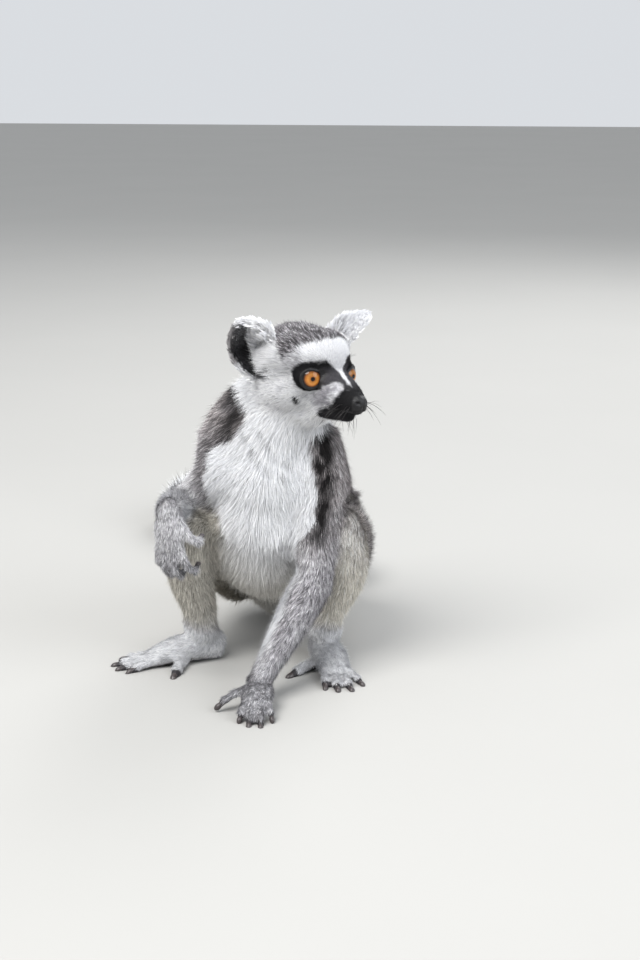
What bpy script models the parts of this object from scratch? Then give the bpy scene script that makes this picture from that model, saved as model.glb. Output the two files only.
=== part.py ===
"""A ring-tailed lemur, life size, sitting on its rump with one hand planted and one wrist over a knee.

Metres, +Z up. The body faces -Y and the floor is z = 0, so the animal's left side is +X.
The origin is the middle of the rump's flat on the floor. Sizes below are given from a point
on the floor under the breast, and the last step moves the whole animal by -SEAT.
Each limb, the trunk and the head is first one rounded form, fused from balls and tapered tubes.
The forms are then fitted to each other with a narrow gap and parted at the joints by thin cuts.
"""

import math

import bmesh
import bpy
from mathutils import Matrix, Vector

# ---------------------------------------------------------------- driving sizes
SEAT = Vector((0.0, 0.100, 0.0))         # the middle of the rump's flat
GAP = 0.0003                     # clearance between neighbouring pieces
FLOOR_CUT = 0.02                 # how far below the floor the floor cutter reaches
CRUMB = 1e-8                     # loose bits under this volume, in cubic metres, are dropped

HEAD_CENTRE = Vector((0.0191, -0.0082, 0.2175))
HEAD_YAW = math.radians(50)      # the head looks over the animal's left shoulder
EYE_RADIUS = 0.0085
EYE_PLACE = Vector((0.0140, -0.0275, 0.0))       # left eyeball centre, in the head's own frame
EYE_TURN = math.radians(30)      # each eye socket looks this far outwards
EAR_WIDTH = 0.031
EAR_DEPTH = 0.012
EAR_THICKNESS = 0.0028
TAIL_LENGTH = 0.48
TAIL_PIECES = 6

# Skeleton of the pose: the joint centres of each side, and which way hand and foot point.
LEFT = {
    "shoulder": Vector((0.033, -0.004, 0.142)),
    "elbow": Vector((0.034, -0.031, 0.073)),
    "wrist": Vector((0.003, -0.080, 0.0145)),
    "hand_ahead": Vector((0.08, -1.0, -0.20)),
    "hand_back": Vector((0.0, -0.2, 1.0)),
    "hip": Vector((0.029, 0.085, 0.056)),
    "knee": Vector((0.051, -0.003, 0.103)),
    "ankle": Vector((0.0355, 0.006, 0.020)),
    "foot_ahead": Vector((0.34, -0.94, 0.0)),
}
RIGHT = {
    "shoulder": Vector((-0.032, -0.004, 0.144)),
    "elbow": Vector((-0.072, 0.028, 0.104)),
    "wrist": Vector((-0.062, -0.062, 0.130)),
    "hand_ahead": Vector((0.02, -0.06, -1.0)),
    "hand_back": Vector((-0.25, -0.97, 0.0)),
    "hip": Vector((-0.039, 0.085, 0.054)),
    "knee": Vector((-0.057, -0.014, 0.100)),
    "ankle": Vector((-0.053, -0.004, 0.020)),
    "foot_ahead": Vector((-0.88, -0.47, 0.0)),
}

# Trunk and neck: centre of each section, its half width and its half depth.
SPINE = (
    ((0.000, 0.126, 0.040), 0.036, 0.036),
    ((-0.002, 0.103, 0.048), 0.047, 0.045),
    ((-0.004, 0.070, 0.075), 0.047, 0.047),
    ((-0.004, 0.043, 0.109), 0.047, 0.045),
    ((-0.002, 0.013, 0.138), 0.043, 0.041),
    ((-0.003, 0.004, 0.162), 0.040, 0.036),
    ((0.004, 0.003, 0.184), 0.0335, 0.0315),
    ((0.013, 0.000, 0.206), 0.028, 0.028),
)

# Tail: the way it lies behind the body, later trimmed to TAIL_LENGTH.
TAIL_WAY = (
    (0.000, 0.128, 0.036),
    (0.022, 0.164, 0.037),
    (0.018, 0.203, 0.029),
    (-0.020, 0.235, 0.0235),
    (-0.070, 0.262, 0.0225),
    (-0.112, 0.294, 0.0225),
    (-0.139, 0.336, 0.0225),
    (-0.124, 0.380, 0.0225),
    (-0.088, 0.405, 0.0225),
    (-0.044, 0.412, 0.0215),
    (-0.004, 0.400, 0.0165),
)

COLOURS = {
    "grey_coat": (0.36, 0.34, 0.34),
    "white_coat": (0.80, 0.79, 0.76),
    "black_coat": (0.03, 0.03, 0.03),
    "amber_eye": (0.72, 0.30, 0.04),
}


# ---------------------------------------------------------------- shared tools
def material(name):
    """A matt Principled material in the named colour, shared by all the pieces that wear it."""
    made = bpy.data.materials.get(name)
    if made is None:
        made = bpy.data.materials.new(name)
        made.use_nodes = True
        shader = made.node_tree.nodes["Principled BSDF"]
        shader.inputs["Base Color"].default_value = (*COLOURS[name], 1.0)
        shader.inputs["Roughness"].default_value = 0.15 if name == "amber_eye" else 0.9
    return made


def object_of(bm, name, coat=None):
    """Turns a bmesh into a smooth-shaded object of the scene."""
    mesh = bpy.data.meshes.new(name)
    bmesh.ops.recalc_face_normals(bm, faces=bm.faces)
    bm.to_mesh(mesh)
    bm.free()
    mesh.shade_smooth()
    made = bpy.data.objects.new(name, mesh)
    bpy.context.scene.collection.objects.link(made)
    if coat:
        mesh.materials.append(material(coat))
    return made


def frozen(obj):
    """Applies the object's modifiers to its mesh."""
    bpy.context.view_layer.update()
    graph = bpy.context.evaluated_depsgraph_get()
    mesh = bpy.data.meshes.new_from_object(obj.evaluated_get(graph))
    obj.modifiers.clear()
    old = obj.data
    obj.data = mesh
    bpy.data.meshes.remove(old)
    return obj


def remove(*objects):
    for obj in objects:
        bpy.data.objects.remove(obj)


def ball(bm, centre, radii, turn=None, segments=24):
    """Adds an ellipsoid with these half axes, turned by a matrix if one is given."""
    place = Matrix.Translation(centre) @ (turn or Matrix()) @ Matrix.Diagonal((*radii, 1.0))
    bmesh.ops.create_uvsphere(bm, u_segments=segments, v_segments=segments * 2 // 3, radius=1.0, matrix=place)


def smooth_between(values, share):
    """Catmull-Rom curve through values, read at share 0..1 of its points."""
    last = len(values) - 1
    at = min(share * last, last - 1e-9)
    k = int(at)
    t = at - k
    a, b, c, d = (values[min(max(k + i, 0), last)] for i in (-1, 0, 1, 2))
    return 0.5 * (
        b * 2.0 + (c - a) * t + (a * 2.0 - b * 5.0 + c * 4.0 - d) * t**2 + (b * 3.0 - a - c * 3.0 + d) * t**3
    )


def tube(bm, way, widths, depths=None, side=Vector((1, 0, 0)), rings=24, segments=20):
    """Adds a tube with rounded ends along way. widths are its half sizes along side, depths the other way."""
    way = [Vector(p) for p in way]
    depths = depths or widths
    cap = 0.28                                   # share of the end radius between the cap's rings
    stations = [(i / rings, 1.0, 0.0) for i in range(rings + 1)]
    ends = [(math.cos(a), math.sin(a)) for a in (0.5, 1.0, 1.35)]
    stations = (
        [(0.0, c, -s) for c, s in reversed(ends)] + stations + [(1.0, c, s) for c, s in ends]
    )
    loops = []
    for share, shrink, beyond in stations:
        centre = smooth_between(way, share)
        ahead = smooth_between(way, min(share + 0.01, 1.0)) - smooth_between(way, max(share - 0.01, 0.0))
        ahead.normalize()
        across = (side - ahead * side.dot(ahead)).normalized()
        up = ahead.cross(across)
        half_width = smooth_between(widths, share)
        half_depth = smooth_between(depths, share)
        centre += ahead * beyond * min(half_width, half_depth) * (1 - cap)
        loop = []
        for k in range(segments):
            angle = math.tau * k / segments
            spoke = across * math.cos(angle) * half_width + up * math.sin(angle) * half_depth
            loop.append(bm.verts.new(centre + spoke * shrink))
        loops.append(loop)
    for low, high in zip(loops, loops[1:]):
        for k in range(segments):
            n = (k + 1) % segments
            bm.faces.new((low[k], low[n], high[n], high[k]))
    bm.faces.new(loops[0])
    bm.faces.new(loops[-1])


def fused(bm, name, voxel, relax, triangles):
    """Melts overlapping shapes into one rounded skin with about this many triangles."""
    form = object_of(bm, name)
    melt = form.modifiers.new("melt", "REMESH")
    melt.mode = "VOXEL"
    melt.voxel_size = voxel
    ease = form.modifiers.new("ease", "SMOOTH")
    ease.factor = 0.5
    ease.iterations = relax
    frozen(form)
    thin = form.modifiers.new("thin", "DECIMATE")
    thin.ratio = triangles / (2 * len(form.data.polygons))
    return frozen(form)


def swollen(obj, by):
    """A hidden copy of obj, grown by that much along its normals, to cut its neighbour with clearance."""
    copy = obj.copy()
    copy.data = obj.data.copy()
    copy.name = obj.name + "_cutter"
    copy.hide_render = True
    copy.display_type = "WIRE"
    bpy.context.scene.collection.objects.link(copy)
    grow = copy.modifiers.new("grow", "DISPLACE")
    grow.mid_level = 0.0
    grow.strength = by
    return frozen(copy)


def cut(obj, cutter):
    """Takes cutter out of obj and removes the cutter."""
    carve = obj.modifiers.new("carve", "BOOLEAN")
    carve.operation = "DIFFERENCE"
    carve.solver = "EXACT"
    carve.use_self = True
    carve.object = cutter
    frozen(obj)
    remove(cutter)
    return obj


def make_room(obj, *neighbours):
    """Carves obj back from its neighbours, with the gap between them."""
    for other in neighbours:
        cut(obj, swollen(other, GAP))
    return obj


def stand_on_floor(obj):
    """Cuts off all that lies below the floor, which leaves small flats to rest on."""
    bm = bmesh.new()
    size = 2.0
    place = Matrix.Translation((0, 0, -FLOOR_CUT / 2)) @ Matrix.Diagonal((size, size, FLOOR_CUT, 1))
    bmesh.ops.create_cube(bm, size=1.0, matrix=place)
    return cut(obj, object_of(bm, "floor_cutter"))


def discs(planes):
    """One cutter made of thin discs. Each plane is (centre, normal, radius)."""
    bm = bmesh.new()
    for centre, normal, radius in planes:
        turn = Vector(normal).to_track_quat("Z", "Y").to_matrix().to_4x4()
        bmesh.ops.create_cone(
            bm, cap_ends=True, segments=32, radius1=radius, radius2=radius, depth=GAP,
            matrix=Matrix.Translation(centre) @ turn,
        )
    return object_of(bm, "parting_cutter")


def loose_bodies(obj):
    """The separate bodies of a mesh, as bmeshes without crumbs."""
    whole = bmesh.new()
    whole.from_mesh(obj.data)
    bmesh.ops.triangulate(whole, faces=whole.faces)
    whole.verts.ensure_lookup_table()
    seen = set()
    bodies = []
    for start in whole.verts:
        if start.index in seen:
            continue
        group = {start.index}
        todo = [start]
        while todo:
            for edge in todo.pop().link_edges:
                for vert in edge.verts:
                    if vert.index not in group:
                        group.add(vert.index)
                        todo.append(vert)
        seen |= group
        body = whole.copy()
        body.verts.ensure_lookup_table()
        strangers = [v for v in body.verts if v.index not in group]
        bmesh.ops.delete(body, geom=strangers, context="VERTS")
        if body.calc_volume() > CRUMB:
            bodies.append(body)
        else:
            body.free()
    whole.free()
    return bodies


def middle(bm):
    return sum((v.co for v in bm.verts), Vector()) / len(bm.verts)


def part_into(form, planes, pieces):
    """Cuts a form at the planes and gives each body the name of the nearest place in pieces."""
    if planes:
        cut(form, discs(planes))
    bodies = loose_bodies(form)
    remove(form)
    for name, (place, coat) in pieces.items():
        nearest = min(bodies, key=lambda b: (middle(b) - place).length)
        bodies.remove(nearest)
        object_of(nearest, name, coat)
    for rest in bodies:
        rest.free()


# ---------------------------------------------------------------- hands and feet
def frame_at(place, ahead, back):
    """A local frame at place: -Y runs to the finger tips, +Z is the back of the hand or foot."""
    y = -ahead.normalized()
    x = y.cross(back).normalized()
    z = x.cross(y)
    turn = Matrix((x, y, z)).transposed().to_4x4()
    return Matrix.Translation(place) @ turn


def digit(bm, frame, base, aim, length, radius, curl):
    """Adds one finger or toe from base, aimed in the palm's plane by an angle, curling down by curl."""
    phalanges = 3
    here = Vector(base)
    way = [frame @ here]
    pitch = 0.0
    for k in range(phalanges):
        step = length * (0.42, 0.33, 0.25)[k]
        ahead = Vector((math.sin(aim) * math.cos(pitch), -math.cos(aim) * math.cos(pitch), -math.sin(pitch)))
        here = here + ahead * step
        way.append(frame @ here)
        pitch += curl
    widths = [radius, radius * 0.92, radius * 0.88, radius * 0.78]
    tube(bm, way, widths, side=frame.to_3x3() @ Vector((1, 0, 0)), rings=14, segments=12)


# name, base across towards the thumb and ahead of the wrist, aim in degrees, length, radius
SPREAD_HAND = (
    ("thumb", 0.0080, 0.011, 58, 0.021, 0.0037),
    ("index", 0.0074, 0.024, 9, 0.016, 0.0033),
    ("middle", 0.0025, 0.027, 2, 0.019, 0.0034),
    ("ring", -0.0029, 0.026, -5, 0.021, 0.0034),
    ("little", -0.0076, 0.022, -13, 0.017, 0.0032),
)
RELAXED_HAND = (
    ("thumb", 0.0100, 0.013, 40, 0.022, 0.0039),
    ("index", 0.0082, 0.030, 24, 0.025, 0.0035),
    ("middle", 0.0028, 0.032, 4, 0.026, 0.0037),
    ("ring", -0.0030, 0.031, -3, 0.027, 0.0037),
    ("little", -0.0084, 0.027, -7, 0.023, 0.0034),
)
TOES = (
    ("great", 0.0085, 0.016, 58, 0.025, 0.0046),
    ("second", 0.0074, 0.037, 11, 0.019, 0.0035),
    ("third", 0.0024, 0.040, 3, 0.022, 0.0037),
    ("fourth", -0.0032, 0.039, -6, 0.024, 0.0037),
    ("fifth", -0.0088, 0.035, -17, 0.021, 0.0034),
)


def add_hand(bm, side, pose, fingers, curl):
    """Palm, ball of the thumb and five fingers. side is 1 on the left, -1 on the right."""
    frame = frame_at(pose["wrist"], pose["hand_ahead"], pose["hand_back"])
    ball(bm, frame @ Vector((0, -0.016, 0.000)), (0.0118, 0.0175, 0.0072), frame.to_3x3().to_4x4())
    for _, across, ahead, aim, length, radius in fingers:
        # the thumb lies towards the middle of the body when the back of the hand is up
        base = (-side * across, -ahead, -0.0005)
        root = (-side * across * 0.45, -ahead * 0.35, 0.0)
        tube(bm, [frame @ Vector(root), frame @ Vector(base)], [radius * 1.2, radius * 1.05], rings=6, segments=12)
        digit(bm, frame, base, -side * math.radians(aim), length, radius, curl)


def add_foot(bm, side, pose):
    """Heel, instep and five toes flat on the floor."""
    ankle = pose["ankle"]
    frame = frame_at(ankle, pose["foot_ahead"], Vector((0, 0, 1)))
    sole = 0.0027 - ankle.z                          # height of the toes' middle under the ankle
    ball(bm, frame @ Vector((0, 0.0075, -0.0085)), (0.0090, 0.0110, 0.0115), frame.to_3x3().to_4x4())
    tube(
        bm,
        [frame @ Vector((0, 0.010, sole + 0.006)), frame @ Vector((0, -0.016, sole + 0.0065)),
         frame @ Vector((0, -0.038, sole + 0.0020))],
        [0.0100, 0.0132, 0.0118], [0.0100, 0.0105, 0.0062], side=frame.to_3x3() @ Vector((1, 0, 0)),
    )
    for _, across, ahead, aim, length, radius in TOES:
        base = (-side * across, -ahead, sole + 0.0012)
        digit(bm, frame, base, -side * math.radians(aim), length, radius, math.radians(9))


# ---------------------------------------------------------------- forms
def arm_form(name, side, pose, fingers, curl):
    bm = bmesh.new()
    shoulder, elbow, wrist = pose["shoulder"], pose["elbow"], pose["wrist"]
    blade = shoulder + Vector((-0.004 * side, 0.020, 0.004))
    ball(bm, blade, (0.021, 0.030, 0.029))
    ball(bm, shoulder, (0.0225, 0.024, 0.027))
    tube(bm, [shoulder, shoulder.lerp(elbow, 0.5), elbow], [0.0225, 0.0185, 0.0152])
    belly_of_arm = elbow.lerp(wrist, 0.28)
    tube(bm, [elbow, belly_of_arm, elbow.lerp(wrist, 0.7), wrist], [0.0158, 0.0158, 0.0125, 0.0100])
    add_hand(bm, side, pose, fingers, curl)
    return stand_on_floor(fused(bm, name, voxel=0.0013, relax=5, triangles=760))


def leg_form(name, side, pose):
    bm = bmesh.new()
    hip, knee, ankle = pose["hip"], pose["knee"], pose["ankle"]
    tube(bm, [hip, hip.lerp(knee, 0.45), knee], [0.0300, 0.0290, 0.0185], [0.0400, 0.0350, 0.0190])
    ball(bm, knee, (0.0175, 0.0180, 0.0185))
    calf = knee.lerp(ankle, 0.42) + Vector((side * 0.005, 0.004, 0))
    tube(bm, [knee, calf, knee.lerp(ankle, 0.78), ankle], [0.0175, 0.0190, 0.0142, 0.0128])
    add_foot(bm, side, pose)
    return stand_on_floor(fused(bm, name, voxel=0.0014, relax=5, triangles=660))


def trunk_form():
    bm = bmesh.new()
    way = [p for p, _, _ in SPINE]
    tube(bm, way, [w for _, w, _ in SPINE], [d for _, _, d in SPINE], rings=40, segments=32)
    ball(bm, Vector((-0.008, 0.020, 0.085)), (0.041, 0.040, 0.045))      # the belly hangs forward
    ball(bm, Vector((-0.001, -0.011, 0.140)), (0.034, 0.028, 0.034))     # breast
    ball(bm, Vector((0.000, 0.100, 0.040)), (0.048, 0.042, 0.044))       # rump
    ball(bm, Vector((-0.009, 0.012, 0.180)), (0.030, 0.026, 0.026))      # nape
    return stand_on_floor(fused(bm, "trunk_form", voxel=0.0026, relax=8, triangles=700))


def tail_form():
    bm = bmesh.new()
    way = [Vector(p) for p in TAIL_WAY]
    fine = [smooth_between(way, i / 200) for i in range(201)]
    run = [0.0]
    for a, b in zip(fine, fine[1:]):
        run.append(run[-1] + (b - a).length)
    kept = [p for p, s in zip(fine, run) if s <= TAIL_LENGTH]
    even = [kept[round(i * (len(kept) - 1) / 24)] for i in range(25)]
    widths = [0.0150, 0.0185, 0.0215, 0.0230, 0.0235, 0.0235, 0.0230, 0.0215, 0.0150]
    tube(bm, even, widths, side=Vector((0, 0, 1)), rings=26, segments=11)
    return stand_on_floor(object_of(bm, "tail_form")), even


HEAD_FRAME = Matrix.Translation(HEAD_CENTRE) @ Matrix.Rotation(HEAD_YAW, 4, "Z")


def head_form():
    """The head in its own frame, nose towards -Y, then turned into place."""
    bm = bmesh.new()
    ball(bm, Vector((0, 0.000, 0.005)), (0.0300, 0.0325, 0.0300))       # brain case
    ball(bm, Vector((0, -0.0155, 0.008)), (0.0245, 0.0270, 0.0230))     # forehead
    ball(bm, Vector((0, -0.006, -0.015)), (0.0205, 0.0300, 0.0150))     # throat
    for side in (-1, 1):
        ball(bm, Vector((side * 0.0165, -0.001, -0.009)), (0.0150, 0.0255, 0.0175))      # cheek
        ball(bm, Vector((side * 0.0140, -0.0240, 0.0000)), (0.0118, 0.0105, 0.0118))     # eye surround
    muzzle = [(0, -0.030, -0.006), (0, -0.046, -0.0105), (0, -0.057, -0.0140), (0, -0.0645, -0.0155)]
    tube(bm, muzzle, [0.0150, 0.0118, 0.0090, 0.0064], [0.0165, 0.0130, 0.0100, 0.0066])
    jaw = [(0, -0.018, -0.0205), (0, -0.038, -0.0245), (0, -0.052, -0.0240)]
    tube(bm, jaw, [0.0140, 0.0098, 0.0060], [0.0080, 0.0055, 0.0048])
    form = fused(bm, "head_form", voxel=0.0013, relax=6, triangles=800)
    form.data.transform(HEAD_FRAME)
    return form


def eyeball(side):
    """A ball set in its socket, in world place."""
    bm = bmesh.new()
    centre = Vector((side * EYE_PLACE.x, EYE_PLACE.y, EYE_PLACE.z))
    bmesh.ops.create_uvsphere(
        bm, u_segments=12, v_segments=9, radius=EYE_RADIUS, matrix=HEAD_FRAME @ Matrix.Translation(centre)
    )
    return object_of(bm, "eye_left" if side > 0 else "eye_right", "amber_eye")


def lid_dish(side):
    """The shallow dish between the lids, which lets the eye look out."""
    gaze = Vector((side * math.sin(EYE_TURN), -math.cos(EYE_TURN), 0.0))
    centre = Vector((side * EYE_PLACE.x, EYE_PLACE.y, EYE_PLACE.z)) + gaze * 0.0100
    bm = bmesh.new()
    turn = HEAD_FRAME.to_3x3().to_4x4() @ Matrix.Rotation(side * EYE_TURN, 4, "Z")
    ball(bm, HEAD_FRAME @ centre, (0.0080, 0.0048, 0.0078), turn, segments=12)
    return object_of(bm, "dish_cutter")


def ear(side):
    """A cupped leaf at the side of the head, open outwards and forwards. Its inner half is later carved away."""
    root = Vector((0.027, -0.002, -0.004))
    tip = Vector((0.058, -0.012, 0.036)) if side > 0 else Vector((0.044, 0.008, 0.0355))
    centre = (root + tip) / 2
    length = (tip - root) / 2
    across = Vector((0.72, 0.68, 0.0))
    across = (across - length * across.dot(length) / length.length_squared).normalized() * EAR_WIDTH / 2
    inward = across.cross(length).normalized() * -1
    if inward.y < 0:
        inward.negate()
    bm = bmesh.new()
    rings, spokes = 3, 15
    walls = []
    for more in (0.0, EAR_THICKNESS):                    # the hollow, then the back of the ear
        wall = []
        for i in range(rings + 1):
            out = math.sin(math.pi / 2 * i / rings)
            loop = []
            for k in range(spokes if i else 1):
                angle = math.tau * k / spokes
                spoke = across * math.cos(angle) + length * math.sin(angle)
                reach = 1 + more / 2 / spoke.length
                sunk = inward * ((EAR_DEPTH + more) * (1 - out**2) ** 0.7 + more * 0.4)
                point = centre + spoke * out * reach + sunk
                loop.append(bm.verts.new((point.x * side, point.y, point.z)))
            wall.append(loop)
        for low, high in zip(wall, wall[1:]):
            for k in range(spokes):
                n = (k + 1) % spokes
                corners = (low[0], high[n], high[k]) if len(low) == 1 else (low[k], low[n], high[n], high[k])
                bm.faces.new(corners)
        walls.append(wall[-1])
    for k in range(spokes):
        n = (k + 1) % spokes
        bm.faces.new((walls[0][k], walls[0][n], walls[1][n], walls[1][k]))
    leaf = object_of(bm, "ear_left" if side > 0 else "ear_right", "white_coat")
    leaf.data.transform(HEAD_FRAME)
    return leaf


# ---------------------------------------------------------------- assembly
def limb_planes(pose, names, shift, square, radii):
    """Parting discs of a limb, at its middle joint and at its wrist or ankle, each halving the bend there.

    shift moves the second disc up the limb, and a larger square sets it more square to the limb.
    radii are the sizes of the two discs."""
    top, middle_joint, low = (pose[name] for name in names[:3])
    last = pose[names[3]].normalized()
    upper = (middle_joint - top).normalized()
    lower = (low - middle_joint).normalized()
    return [(middle_joint, upper + lower, radii[0]), (low - lower * shift, lower * square + last, radii[1])]


def main():
    for obj in list(bpy.data.objects):
        bpy.data.objects.remove(obj)

    head = head_form()
    for side, word in ((1, "left"), (-1, "right")):
        cut(head, lid_dish(side))
        cut(head, swollen(eyeball(side), GAP))
        part_into(make_room(ear(side), head), [], {f"ear_{word}": (HEAD_CENTRE, "white_coat")})

    trunk = make_room(trunk_form(), head)
    arms = {
        1: arm_form("arm_left", 1, LEFT, SPREAD_HAND, math.radians(16)),
        -1: arm_form("arm_right", -1, RIGHT, RELAXED_HAND, math.radians(52)),
    }
    legs = {1: leg_form("leg_left", 1, LEFT), -1: leg_form("leg_right", -1, RIGHT)}
    tail, tail_line = tail_form()
    make_room(legs[1], arms[1])
    make_room(legs[-1], arms[-1], legs[1])
    make_room(trunk, arms[1], arms[-1], legs[1], legs[-1])
    make_room(tail, trunk, legs[1], legs[-1])

    part_into(head, [], {"head": (HEAD_CENTRE, "grey_coat")})
    spine = [Vector(p) for p, _, _ in SPINE]
    part_into(
        trunk,
        [(spine[k], spine[k + 1] - spine[k - 1], 0.075) for k in (2, 4)] + [(spine[5], (0, 0, 1), 0.05)],
        {
            "pelvis": (spine[1], "grey_coat"),
            "belly": (spine[3], "white_coat"),
            "chest": (spine[4].lerp(spine[5], 0.5), "white_coat"),
            "neck": (spine[6], "white_coat"),
        },
    )
    for side, pose, word in ((1, LEFT, "left"), (-1, RIGHT, "right")):
        part_into(
            arms[side],
            limb_planes(pose, ("shoulder", "elbow", "wrist", "hand_ahead"), 0.0, 1.0, (0.060, 0.022)),
            {
                f"upper_arm_{word}": (pose["shoulder"].lerp(pose["elbow"], 0.4), "grey_coat"),
                f"forearm_{word}": (pose["elbow"].lerp(pose["wrist"], 0.5), "grey_coat"),
                f"hand_{word}": (pose["wrist"] + pose["hand_ahead"].normalized() * 0.03, "grey_coat"),
            },
        )
        part_into(
            legs[side],
            limb_planes(pose, ("hip", "knee", "ankle", "foot_ahead"), 0.009, 3.0, (0.088, 0.026)),
            {
                f"thigh_{word}": (pose["hip"].lerp(pose["knee"], 0.5), "grey_coat"),
                f"shank_{word}": (pose["knee"].lerp(pose["ankle"], 0.5), "white_coat"),
                f"foot_{word}": (pose["ankle"] + pose["foot_ahead"].normalized() * 0.03, "white_coat"),
            },
        )
    knots = [round(k * (len(tail_line) - 1) / TAIL_PIECES) for k in range(TAIL_PIECES + 1)]
    part_into(
        tail,
        [(tail_line[k], tail_line[k + 1] - tail_line[k - 1], 0.035) for k in knots[1:-1]],
        {
            f"tail_{n + 1}": (tail_line[(a + b) // 2], "black_coat" if n % 2 else "white_coat")
            for n, (a, b) in enumerate(zip(knots, knots[1:]))
        },
    )
    for piece in bpy.context.scene.objects:
        piece.data.transform(Matrix.Translation(-SEAT))


main()
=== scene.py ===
import itertools
import math
from collections import namedtuple

import bmesh
import bpy
import numpy as np
from mathutils import Matrix, Vector
from mathutils.bvhtree import BVHTree
from mathutils.kdtree import KDTree


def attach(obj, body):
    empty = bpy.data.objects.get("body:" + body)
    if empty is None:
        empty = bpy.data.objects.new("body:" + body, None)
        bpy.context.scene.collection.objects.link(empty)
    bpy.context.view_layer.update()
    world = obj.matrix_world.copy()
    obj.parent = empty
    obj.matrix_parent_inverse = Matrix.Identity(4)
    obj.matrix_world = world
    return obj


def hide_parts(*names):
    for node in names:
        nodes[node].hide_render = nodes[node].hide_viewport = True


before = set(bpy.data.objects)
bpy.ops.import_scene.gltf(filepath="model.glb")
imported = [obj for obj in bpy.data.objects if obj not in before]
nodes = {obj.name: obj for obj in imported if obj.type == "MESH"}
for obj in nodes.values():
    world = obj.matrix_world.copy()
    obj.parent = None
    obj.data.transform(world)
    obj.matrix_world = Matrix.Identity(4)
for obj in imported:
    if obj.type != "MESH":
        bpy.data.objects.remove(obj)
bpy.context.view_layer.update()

MM = 0.001
SEAT = Vector((0.0, 0.100, 0.0))         # the middle of the rump's flat, in the skeleton's own frame

# ---------------------------------------------------------------- skeleton of the pose
HEAD_CENTRE = Vector((0.0191, -0.0082, 0.2175)) - SEAT
HEAD_YAW = math.radians(50)
HEAD_FRAME = Matrix.Translation(HEAD_CENTRE) @ Matrix.Rotation(HEAD_YAW, 4, "Z")
EYE_RADIUS = 8.5 * MM
EYE_PLACE = {                            # the head tilts to its left, so the left eye sits lower
    1: Vector((16.0, -29.3, -1.8)) * MM,
    -1: Vector((-14.0, -27.5, 0.4)) * MM,
}
EYE_SEAT = (17.8, -34.0, 0.0)            # millimetres: round here the coat is thin and the faces are fine
EYE_TURN = math.radians(30)
EAR_WIDTH = 31 * MM
EAR_DEPTH = 12 * MM
EAR_WALL = 2.3 * MM

LEFT = {
    "shoulder": Vector((0.033, -0.004, 0.142)), "elbow": Vector((0.034, -0.031, 0.073)),
    "wrist": Vector((0.003, -0.080, 0.0145)), "hand_ahead": Vector((0.08, -1.0, -0.20)),
    "hand_back": Vector((0.0, -0.2, 1.0)), "hip": Vector((0.029, 0.085, 0.056)),
    "knee": Vector((0.051, -0.003, 0.103)), "ankle": Vector((0.0355, 0.006, 0.020)),
    "foot_ahead": Vector((0.34, -0.94, 0.0)),
}
RIGHT = {
    "shoulder": Vector((-0.032, -0.004, 0.144)), "elbow": Vector((-0.072, 0.028, 0.104)),
    "wrist": Vector((-0.062, -0.062, 0.130)), "hand_ahead": Vector((0.02, -0.06, -1.0)),
    "hand_back": Vector((-0.25, -0.97, 0.0)), "hip": Vector((-0.039, 0.085, 0.054)),
    "knee": Vector((-0.057, -0.014, 0.100)), "ankle": Vector((-0.053, -0.004, 0.020)),
    "foot_ahead": Vector((-0.88, -0.47, 0.0)),
}
POSE = {1: LEFT, -1: RIGHT}
WORD = {1: "left", -1: "right"}
for pose in POSE.values():
    for joint in ("shoulder", "elbow", "wrist", "hip", "knee", "ankle"):
        pose[joint] = pose[joint] - SEAT

# centre of each section of the trunk and neck, its half width and its half depth
SPINE = [
    (Vector(p) - SEAT, w, d) for p, w, d in (
        ((0.000, 0.126, 0.040), 0.036, 0.036), ((-0.002, 0.103, 0.048), 0.047, 0.045),
        ((-0.004, 0.070, 0.075), 0.047, 0.047), ((-0.004, 0.043, 0.109), 0.047, 0.045),
        ((-0.002, 0.013, 0.138), 0.043, 0.041), ((-0.003, 0.004, 0.162), 0.040, 0.036),
        ((0.004, 0.003, 0.184), 0.0335, 0.0315), ((0.013, 0.000, 0.206), 0.028, 0.028),
    )
]
TAIL_WAY = [
    Vector(p) - SEAT for p in (
        (0.000, 0.128, 0.036), (0.022, 0.164, 0.037), (0.018, 0.203, 0.029), (-0.020, 0.235, 0.0235),
        (-0.070, 0.262, 0.0225), (-0.112, 0.294, 0.0225), (-0.139, 0.336, 0.0225), (-0.124, 0.380, 0.0225),
        (-0.088, 0.405, 0.0225), (-0.044, 0.412, 0.0215), (-0.004, 0.400, 0.0165),
    )
]
TAIL_LENGTH = 0.455
TAIL_RINGS = 27                          # dark and pale ones together

# name, base across towards the thumb and ahead of the wrist, aim in degrees, length, radius
SPREAD_HAND = (
    ("thumb", 0.0080, 0.011, 58, 0.021, 0.0037), ("index", 0.0074, 0.024, 9, 0.016, 0.0033),
    ("middle", 0.0025, 0.027, 2, 0.019, 0.0034), ("ring", -0.0029, 0.026, -5, 0.021, 0.0034),
    ("little", -0.0076, 0.022, -13, 0.017, 0.0032),
)
RELAXED_HAND = (
    ("thumb", 0.0100, 0.013, 40, 0.022, 0.0039), ("index", 0.0082, 0.030, 24, 0.025, 0.0035),
    ("middle", 0.0028, 0.032, 4, 0.026, 0.0037), ("ring", -0.0030, 0.031, -3, 0.027, 0.0037),
    ("little", -0.0084, 0.027, -7, 0.023, 0.0034),
)
TOES = (
    ("great", 0.0085, 0.016, 58, 0.025, 0.0046), ("second", 0.0074, 0.037, 11, 0.019, 0.0035),
    ("third", 0.0024, 0.040, 3, 0.022, 0.0037), ("fourth", -0.0032, 0.039, -6, 0.024, 0.0037),
    ("fifth", -0.0088, 0.035, -17, 0.021, 0.0034),
)
HAND_CURL = {1: math.radians(16), -1: math.radians(52)}
TOE_CURL = math.radians(9)
SOLE_RISE = 2.7 * MM                     # the sole's underside over the floor, before its coat
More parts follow.
